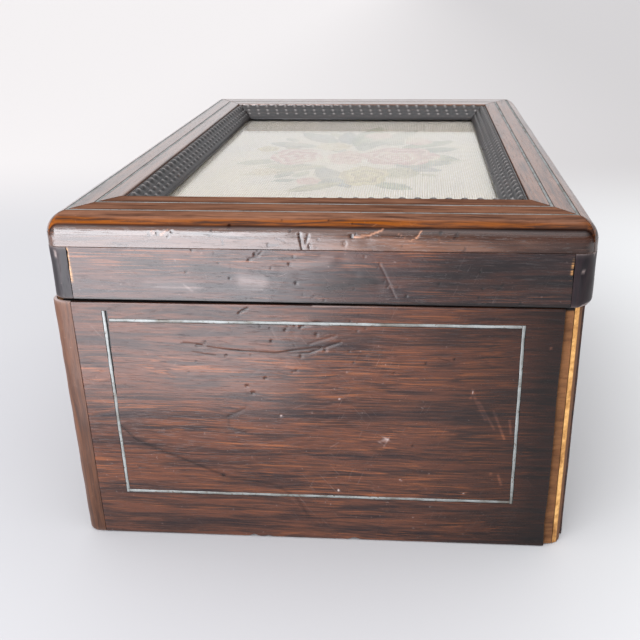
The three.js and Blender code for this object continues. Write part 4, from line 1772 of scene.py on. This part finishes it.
@dataclass
class BoxBase:
    """The base: bottom, boards, veneered panels, strings and the three beads that are left."""

    panel_margin: float = 21.75
    panel_foot: float = 20.8
    panel_head: float = 7.2
    front_shift: float = -1.15
    sprung_overrun: float = 3.2
    sprung_gap: float = 0.9

    def strips(self, side: Side) -> dict[str, Four]:
        """Lay out the four strips of a panel's string.

        Args:
            side: The panel's side.

        Returns:
            The left, bottom, right and top of each strip on the face, by the strip's name.
        """
        half = SIZES.panel_string_width / 2
        play = half + SIZES.string_play
        sprung = side is Side.FRONT
        shift = self.front_shift if sprung else 0.0
        reach = SIZES.along(side) - self.panel_margin
        left, right = shift - reach, shift + reach
        bottom, top = self.panel_foot, SIZES.base_height - self.panel_head
        head = top + self.sprung_overrun if sprung else top
        start = left + play + (self.sprung_gap + 3 * SIZES.string_play if sprung else 0.0)
        return {
            "left": (left - half, bottom - half, left + half, head + half),
            "right": (right - half, bottom - half, right + half, top + half),
            "top": (start, top - half, right - play, top + half),
            "bottom": (left + play, bottom - half, right - play, bottom + half),
        }

    def grooves(self, side: Side) -> list[Four]:
        """Lay out the grooves round the strips of a panel's string.

        Args:
            side: The panel's side.

        Returns:
            The left, bottom, right and top of each groove, with the sprung strip's wider gap in steps.
        """
        play = SIZES.string_play
        strips = self.strips(side)
        found = [(l - play, b - play, r + play, t + play) for l, b, r, t in strips.values()]
        if side is Side.FRONT:
            _, _, right, top = strips["left"]
            for low, share in ((66.0, 0.25), (76.0, 0.5), (86.0, 0.78), (95.0, 1.0)):
                found.append((right, low, right + play + self.sprung_gap * share, top + play))
        return found

    @staticmethod
    def hair_scratches() -> list[Mark]:
        """Short pale scratches round the scuff and a crossed pair further right.

        Returns:
            The scratches, and the specks between them.
        """
        strokes = (
            ((30.3, 53.0), (34.6, 50.8)),
            ((22.8, 48.3), (27.5, 44.6)),
            ((25.7, 44.3), (28.9, 50.7)),
            ((24.2, 50.6), (30.1, 46.9)),
            ((30.4, 58.0), (31.6, 55.0)),
            ((16.3, 48.7), (17.6, 52.0)),
            ((59.3, 71.3), (61.2, 66.2), (65.1, 58.2)),
            ((62.1, 66.3), (68.5, 54.5)),
            ((60.0, 71.2), (58.9, 67.4)),
            ((68.1, 62.0), (72.7, 50.0)),
            ((74.2, 58.4), (75.1, 52.4)),
            ((71.2, 33.7), (72.6, 29.0)),
            ((57.3, 24.2), (59.3, 25.0)),
            ((5.0, 44.2), (8.3, 46.5)),
        )
        specks = [(12.1, 77.6), (26.7, 81.1), (68.3, 34.0), (33.3, 29.5)]
        specks += [(7.9, 23.7), (87.4, 89.2), (43.0, 26.0)]
        marks = [Mark(path, 0.36, 0.02, 0.2 + 0.35 * (path[0][0] > 50)) for path in strokes]
        return marks + [Mark((place,), 0.5, 0.02, 0.3 + place[0] / 150) for place in specks]

    def front_marks(self) -> tuple[Mark, ...]:
        """Worn marks, painted shade and a painted highlight on the front.

        Returns:
            Cracks, pits, scratches, stains and scuffs, with painted shade over the right and a painted
            highlight along the top edge.
        """
        marks = [
            Mark(((-78.6, 51.6), (-73.4, 45.7), (-62.7, 40.3), (-50.8, 35.2), (-38.9, 29.8)), 0.9, 0.0, -0.6),
            Mark(((-38.9, 29.8), (-28.6, 27.7), (-17.9, 25.6), (-9.9, 20.5), (-4.8, 10.9)), 0.9, 0.0, -0.45),
            Mark(((-28.6, 60.4), (-34.9, 57.1), (-34.9, 52.0), (-28.6, 49.9)), 0.7, 0.05, -0.5),
            Mark(((-45.0, 87.5), (-36.0, 86.2), (-29.9, 85.6), (-14.8, 85.0), (2.6, 87.8)), 0.4, 0.2, -0.6),
            Mark(((-24.2, 84.2), (-14.0, 84.4), (-2.0, 85.4), (9.8, 90.0)), 0.42, 0.18, -0.45),
            Mark(((-50.0, 88.3), (-43.0, 87.7)), 0.5, 0.2, -0.5),
            Mark(((-47.0, 84.6), (-38.0, 83.2)), 0.42, 0.15, -0.35),
            Mark(((-27.7, 101.2), (-24.3, 103.2)), 0.45, 0.3, -0.9),
            Mark(((-5.0, 96.0), (1.5, 98.0), (5.0, 97.2)), 0.45, 0.3, -0.6),
            Mark(((26.8, 48.6),), 2.0, 0.05, 0.26),
            Mark(((24.5, 47.4), (27.0, 48.4)), 0.8, 0.05, 0.2),
            Mark(((29.0, 54.0), (30.2, 51.0)), 0.5, 0.05, 0.22),
            # Painted shade over the right of the front; the next mark darkens the strip along the right edge
            # further.
            Mark(((84.0, 10.0), (82.0, 100.0)), 44.0, 0.0, -0.66),
            Mark(((90.0, 4.0), (91.0, 50.0), (91.5, 104.0)), 9.0, 0.0, -0.3),
            *self.hair_scratches(),
            Mark(((10.0, 90.0), (16.0, 87.0), (20.0, 87.5)), 0.4, 0.1, 0.15),
            Mark(((-2.0, 89.0), (8.0, 92.5)), 0.4, 0.1, 0.12),
            # Pale line along the top edge: worn, and also a painted highlight on the edge.
            Mark(((0.0, 104.6), (60.0, 104.6), (90.0, 104.6)), 0.5, 0.0, 0.35),
        ]
        specks = [(32.5, 30.0), (44.1, 33.1), (58.1, 24.2), (7.8, 24.2)]
        specks += [(9.0, 66.0), (-14.0, 58.0), (38.0, 12.0)]
        marks += spots(specks, 0.45, 0.1, 0.7)
        pits = [(-26.7, 70.7), (-24.5, 67.7), (-10.6, 94.6), (-6.8, 96.7), (-33.8, 83.4), (-19.2, 74.3)]
        pits += [(-41.7, 88.3), (-5.1, 83.9), (4.1, 86.6), (1.0, 93.0), (-16.0, 90.0)]
        marks += spots(pits, 0.55, 0.25, -0.8)
        marks += scattered_marks(5, 42, (-46, 76), (30, 100))
        marks += scattered_marks(6, 46, (-90, 2), (90, 100))
        return tuple(marks)

    def build(self) -> None:
        """Build and dress every piece of the base."""
        wood = BoxWoods()
        for side in Side:
            front = side is Side.FRONT
            seed = side.number
            spread = SIZES.along(side) - 12
            marks = scattered_marks(20 + seed, 34, (-spread, 4), (spread, 98))
            chips = [Mark(((-28, 0),), 1.4, 0.9), Mark(((-22, 0),), 1.0, 0.5), Mark(((14, 0),), 1.8, 0.8)]
            VeneerSheet(
                name=f"base_{side.value}_veneer",
                node=f"base_{side.value}_panel",
                side=side,
                seat=BASE_SEAT,
                height=SIZES.base_height,
                finish=wood.panel(side),
                strips=self.grooves(side),
                marks=self.front_marks() if front else marks,
                chips=chips if front else [Mark(((20.0 * seed - 30, 0),), 2.0, 0.6)],
                right_loss=[Mark(((0, 12),), 9.0, 0.5), Mark(((0, 70),), 14.0, 0.3)] if front else [],
                spacing=0.46 if front else 1.5,
                ripple_seed=float(seed),
            ).build()
        self.lay_strings()
        corners = (((1, 1), "back_right"), ((-1, 1), "back_left"), ((-1, -1), "front_left"))
        for seed, (corner, name) in enumerate(corners, 3):
            finish = wood.worn_bead if name == "front_left" else wood.bead
            node = f"base_{name}_bead"
            name = f"base_{name}_corner_bead"
            CornerBead(name, node, corner, BASE_SEAT, SIZES.base_height, finish, seed=seed).build()
        dress_nodes(["base_front_board", "base_back_board"], wood.carcass_across.material())
        dress_nodes(["base_left_board"], wood.carcass_deep.material())
        dress_nodes(["base_right_board"], wood.carcass_pale.material())
        dress_nodes(["base_bottom_board"], wood.carcass_deep.material())

    def lay_strings(self) -> None:
        """Lay the front's strings as wandering strips and dress the others."""
        for seed, (edge, (left, bottom, right, top)) in enumerate(self.strips(Side.FRONT).items()):
            if edge in ("left", "right"):
                middle = (left + right) / 2
                start, end = (middle, bottom), (middle, top)
            else:
                middle = (bottom + top) / 2
                start, end = (left, middle), (right, middle)
            name, node = f"base_front_{edge}_inlay", f"base_front_{edge}_string"
            InlayStrip(name, node, Side.FRONT, start, end, seed + 30).build()
        edges = ("left", "right", "top", "bottom")
        others = [f"base_{s.value}_{edge}_string" for s in Side if s is not Side.FRONT for edge in edges]
        dress_nodes(others, PaleMetal().material())


@dataclass(frozen=True)
class BoxWoods:
    """The woods of the box, each chosen once."""

    lid_colours: tuple = tints((20, 14, 18), (42, 27, 26), (66, 39, 31))
    frame_colours: tuple = tints((56, 38, 31), (98, 67, 52), (118, 83, 65))
    worn_bead: Timber = Timber(
        "worn_bead",
        Grain.ALONG_Z,
        *tints((46, 28, 21), (66, 40, 27), (82, 51, 34)),
        specular=0.3,
        lines=0.12,
    )
    bead: Timber = Timber(
        "ebonised_bead",
        Grain.ALONG_Z,
        *tints((14, 10, 13), (22, 15, 19), (32, 21, 24)),
        streak=160.0,
        roughness=0.36,
        specular=0.3,
        lines=0.0,
    )
    ripple: Timber = Timber(
        "ebonised_ripple",
        Grain.ALONG_X,
        *tints((16, 14, 15), (30, 27, 27), (42, 37, 36)),
        # pale is the painted highlight colour of the ripples' crests.
        pale=linear(150, 143, 140),
        roughness=0.3,
        specular=0.45,
        pores=0.2,
        lines=0.1,
        scratches=0.15,
    )
    carcass_across: Timber = bare_wood(
        "bare_wood_across",
        Grain.ALONG_X,
        *((62, 38, 22), (96, 63, 38), (115, 77, 47)),
        streak=160.0,
        figure=0.002,
        # Near-black from 103 mm up: painted shade in the gap between lid and base, which blackens the lid's
        # boards as well.
        stain=(2, 0.1030, 0.1040, linear(8, 6, 6)),
    )
    carcass_deep: Timber = bare_wood(
        "bare_wood_in_depth",
        Grain.ALONG_Y,
        *((66, 42, 24), (104, 70, 42), (126, 88, 54)),
    )
    carcass_pale: Timber = bare_wood(
        "bare_pale_wood_in_depth",
        Grain.ALONG_Y,
        *((128, 86, 46), (190, 140, 82), (218, 170, 106)),
        # Darker brown beyond x 96.7 mm, over the bare corner's outer facet.
        stain=(0, 0.0967, 0.0971, linear(112, 76, 52)),
    )

    def panel(self, side: Side) -> Timber:
        """Veneer of a side of the base."""
        return rosewood(f"rosewood_{side.value}", Grain.of(side), offset=(0.13 * side.number, 0.0, 0.0))

    def lid_wall(self, side: Side) -> Timber:
        """Darker veneer of a side of the lid."""
        looks = {"gold": linear(226, 168, 104), "roughness": 0.24, "specular": 0.52, "lines": 0.4}
        return Timber(f"dark_rosewood_{side.value}", Grain.of(side), *self.lid_colours, **looks)

    def frame(self, side: Side) -> Timber:
        """Golden rosewood of a member of the lid's frame.

        Args:
            side: The member's side.

        Returns:
            Its finish, which is dull at the front and polished elsewhere.
        """
        if side is Side.FRONT:
            looks = {"pale": linear(206, 150, 116), "roughness": 0.32, "specular": 0.35}
        else:
            looks = {"roughness": 0.24, "specular": 0.6, "coat": 0.3 if side is Side.RIGHT else 0.9}
        name = f"frame_rosewood_{side.value}"
        return Timber(name, Grain.of(side), *self.frame_colours, lines=0.25, **looks)


@dataclass
class BoxLid:
    """The lid: boards, veneers, beads, mitred frame, ripple mouldings, glass and needlework."""

    wall_rise: float = 0.2

    def wall_marks(self) -> tuple[Mark, ...]:
        """Worn marks, painted sheen patches and painted shade on the lid's front wall.

        Returns:
            The marks, with heights from the wall's lower edge.
        """
        marks = [
            Mark(((23.0, 121.3), (28.8, 108.5)), 0.35, 0.1, 0.3),
            Mark(((-24.5, 122.0), (-21.0, 123.4), (-19.3, 125.1)), 0.4, 0.2, -0.6),
            Mark(((-22.0, 124.0), (-8.0, 123.6)), 0.45, 0.15, -0.4),
            Mark(((-24.0, 121.8), (-15.0, 122.4)), 0.4, 0.12, -0.3),
            Mark(((-60.0, 111.0), (-20.0, 110.6)), 0.35, 0.05, 0.12),
        ]
        pits = [(-44.8, 125.4), (-21.9, 124.3), (-9.5, 120.7), (-47.7, 117.0), (-31.6, 114.9), (-7.3, 113.4)]
        marks += spots(pits, 0.5, 0.25, -0.9)
        marks = [mark.lowered(LID_SEAT.lift) for mark in marks]
        marks += [
            # Painted shadow of the gap between lid and base, along the wall's lower edge.
            Mark(((-91.0, 0.2), (91.0, 0.2)), 0.8, 0.0, -0.95),
            # Painted sheen: a mottle of pale and darker patches over the wall.
            Mark(((-27.0, 8.5), (-20.0, 8.0)), 3.2, 0.0, 0.26),
            Mark(((-62.0, 7.0), (-46.0, 6.0)), 3.6, 0.0, 0.14),
            Mark(((-8.0, 14.5), (4.0, 15.5)), 2.6, 0.0, 0.18),
            Mark(((-70.0, 14.5), (-58.0, 15.5)), 3.4, 0.0, -0.6),
            Mark(((-44.0, 13.0), (-36.0, 12.0)), 3.0, 0.0, -0.55),
            Mark(((4.0, 6.0), (20.0, 9.0)), 4.6, 0.0, -0.6),
            # Painted shade: darker over the right of the wall.
            Mark(((50.0, 12.0), (92.0, 9.0)), 16.0, 0.0, -0.6),
        ]
        marks += scattered_marks(8, 40, (-60, 1), (60, 20))
        marks += scattered_marks(9, 20, (-88, 1), (88, 20))
        return tuple(marks)

    def slivers(self) -> tuple[Mark, ...]:
        """Golden slivers at the ends of the lid's front wall, where the dark finish has chipped off."""
        ends = [((90.9, 16.5), (90.7, 11.0)), ((90.9, 17.6), (90.9, 18.2)), ((-91.2, 19.6), (-91.0, 7.0))]
        return tuple(Mark(path, 0.4, 0.0, tone) for path, tone in zip(ends, (1.2, 1.0, 0.5)))

    def edge_marks(self) -> tuple[Mark, ...]:
        """Worn marks on the front of the lid's frame, and painted shade towards its right end.

        Returns:
            The marks, with heights from the frame's underside.
        """
        marks = [
            Mark(((14.0, 131.2), (19.0, 131.6), (24.0, 133.6)), 0.26, 0.1, 0.5),
            Mark(((33.5, 130.0), (36.0, 131.2), (37.6, 133.4)), 0.26, 0.1, 0.5),
            Mark(((-5.5, 131.7), (-4.6, 127.2)), 0.4, 0.25, -0.8),
            Mark(((-2.5, 131.0), (-3.5, 128.6)), 0.4, 0.2, -0.7),
        ]
        pits = [(-57.0, 131.6), (-51.7, 132.0), (-53.0, 130.6), (-2.0, 127.7), (13.0, 131.3), (10.5, 128.6)]
        marks += spots(pits, 0.5, 0.25, -0.9)
        marks = [mark.lowered(LID_SEAT.lift + SIZES.frame_foot) for mark in marks]
        marks += scattered_marks(12, 30, (-70, 0), (60, 7))
        # Painted shade: darker towards the right end of the frame's front.
        marks.append(Mark(((62.0, 4.0), (97.0, 4.0)), 14.0, 0.0, -0.15))
        return tuple(marks)

    def build(self) -> None:
        """Build and dress every piece of the lid."""
        wood = BoxWoods()
        for side in Side:
            front = side is Side.FRONT
            seed = side.number
            spread = SIZES.along(side) - 12
            marks = scattered_marks(40 + seed, 14, (-spread, 2), (spread, 18))
            VeneerSheet(
                name=f"lid_{side.value}_veneer",
                node=f"lid_{side.value}_panel",
                side=side,
                seat=LID_SEAT,
                height=SIZES.lid_wall + self.wall_rise,
                finish=wood.lid_wall(side),
                edge_round=0.16,
                marks=self.wall_marks() if front else marks,
                left_loss=[Mark(((0, 15),), 3.2, 0.3), Mark(((0, 18.5),), 0.9, 0.4)] if front else [],
                right_loss=[Mark(((0, 14.0),), 2.6, 0.3)] if front else [],
                golds=self.slivers() if front else [],
                spacing=0.4 if front else 1.5,
                ripple_seed=1.7 + seed,
            ).build()
            edge = self.edge_marks() if front else scattered_marks(50 + seed, 14, (-spread, 0), (spread, 7))
            nicks = scattered_marks(60 + seed, 16, (-spread, 1), (spread, 20))
            if side is Side.LEFT:
                nicks += tuple(Mark(((x, 0.5),), 1.6, 0.7, -0.8) for x in (37.0, -44.0))
            FrameMember(side, wood.frame(side), edge, nicks, 0.45 if front else 1.6).build()
        corners = (((1, -1), "front_right"), ((1, 1), "back_right"), ((-1, 1), "back_left"))
        for seed, (corner, name) in enumerate((*corners, ((-1, -1), "front_left")), 6):
            CornerBead(
                name=f"lid_{name}_corner_bead",
                node=f"lid_{name}_bead",
                corner=corner,
                seat=LID_SEAT,
                height=SIZES.lid_wall + self.wall_rise,
                finish=wood.bead,
                worn_foot=2.6 if name == "front_right" else 0.0,
                seed=seed,
                dents=3,
            ).build()
        tree = RippleMoulding.ripple_tree(wood.ripple.material())
        for side in Side:
            RippleMoulding(side, tree, droop=0.9 if side is Side.FRONT else 0.0).build()
        Needlework().build()
        dress_nodes(["lid_glass_pane"], ClearGlass().material())
        strings = [f"lid_{side.value}_{row}_string" for side in Side for row in ("outer", "inner")]
        dress_nodes(strings, PaleMetal().material())
        dress_nodes(["lid_front_board", "lid_back_board"], wood.carcass_across.material())
        dress_nodes(["lid_left_board", "lid_right_board", "lid_backing_board"], wood.carcass_deep.material())


@dataclass(frozen=True)
class Studio:
    """Floor, light and camera."""

    image: float = 640.0
    focal: float = 829.3
    middle: Pair = (354.5, 320.0)
    yaw: float = -0.0757
    pitch: float = 0.4066
    roll: float = -0.0131
    eye: Triple = (36.4359, -420.5423, 219.9395)
    room_light: float = 0.72

    def floor(self) -> None:
        """Lay a wide pale floor."""
        size, level = 6.0, -0.0004
        mesh = bpy.data.meshes.new("studio_floor")
        corners = [(-size, -size, level), (size, -size, level), (size, size, level), (-size, size, level)]
        mesh.from_pydata(corners, [], [(0, 1, 2, 3)])
        mesh.materials.append(StudioFloor().material())
        add_object("studio_floor", mesh)

    def lamp(self, name: str, place: Triple, aim: Triple, size: Pair, power: float, colour: Triple) -> None:
        """Hang a soft lamp.

        Args:
            name: Its name.
            place: Where it hangs, in metres.
            aim: What it faces.
            size: Its width and height.
            power: Its power.
            colour: Its colour.
        """
        light = bpy.data.lights.new(name, "AREA")
        light.shape = "RECTANGLE"
        light.size, light.size_y = size
        light.energy = power
        light.color = colour
        lamp = add_object(name, light)
        lamp.location = place
        lamp.visible_camera = False
        lamp.rotation_euler = (Vector(aim) - Vector(place)).to_track_quat("-Z", "Y").to_euler()

    def lights(self) -> None:
        """Light the box softly: a window and a low card at the front left, and pale surroundings."""
        self.lamp("window", (-0.43, -0.80, 0.22), (-0.1, -0.14, 0.10), (0.70, 0.40), 9.2, (0.93, 0.95, 1.0))
        self.lamp("card", (-0.36, -0.60, 0.004), (-0.36, -0.60, 1.0), (0.66, 0.70), 9.2, (0.95, 0.95, 1.0))
        world = bpy.data.worlds.new("pale_room")
        bpy.context.scene.world = world
        world.use_nodes = True
        bench = NodeBench(world.node_tree)
        backdrop = world.node_tree.nodes["Background"]
        way = bench.add("ShaderNodeTexCoord").outputs["Generated"]
        shares = []
        regions = (
            ((-0.45, 0.85, 0.3), 0.1, 0.95, 0.15),
            ((0.0, -0.3, 0.95), 0.35, 1.0, 2.2),
            ((0.3, -0.93, 0.1), 0.0, 0.85, -0.62),
        )
        for aim, low, high, gain in regions:
            turned = bench.add("ShaderNodeVectorMath", {0: way, 1: aim}, operation="DOT_PRODUCT")
            shares.append(bench.times(bench.band(turned.outputs["Value"], low, high), gain))
        light = bench.plus(bench.plus(shares[0], shares[1]), bench.plus(shares[2], self.room_light))
        bench.feed(backdrop, {"Color": (0.96, 0.97, 1.0, 1.0), "Strength": light})

    def camera(self) -> None:
        """Set the camera at the photograph's viewing angle."""
        forward0 = Vector((math.sin(self.yaw), math.cos(self.yaw), 0.0))
        right0 = Vector((math.cos(self.yaw), -math.sin(self.yaw), 0.0))
        up0 = Vector((0.0, 0.0, 1.0))
        forward = forward0 * math.cos(self.pitch) - up0 * math.sin(self.pitch)
        up1 = up0 * math.cos(self.pitch) + forward0 * math.sin(self.pitch)
        right = right0 * math.cos(self.roll) + up1 * math.sin(self.roll)
        up = up1 * math.cos(self.roll) - right0 * math.sin(self.roll)
        lens = bpy.data.cameras.new("camera")
        lens.sensor_width = 36.0
        lens.lens = self.focal / self.image * lens.sensor_width
        lens.shift_x = (self.image / 2 - self.middle[0]) / self.image
        lens.shift_y = (self.middle[1] - self.image / 2) / self.image
        lens.clip_start = 0.01
        camera = add_object("camera", lens)
        axes = Matrix((right, up, -forward)).transposed()
        camera.matrix_world = Matrix.Translation(Vector(self.eye) * MM) @ axes.to_4x4()
        bpy.context.scene.camera = camera

    def build(self) -> None:
        """Build the floor, the lights and the camera."""
        self.floor()
        self.lights()
        self.camera()
        bpy.context.scene.view_settings.view_transform = "Standard"


def main() -> None:
    """Build the studio, the base and the lid."""
    logging.basicConfig(level=logging.INFO, format="%(name)s: %(message)s")
    Studio().build()
    BoxBase().build()
    BoxLid().build()


if __name__ == "__main__":
    main()
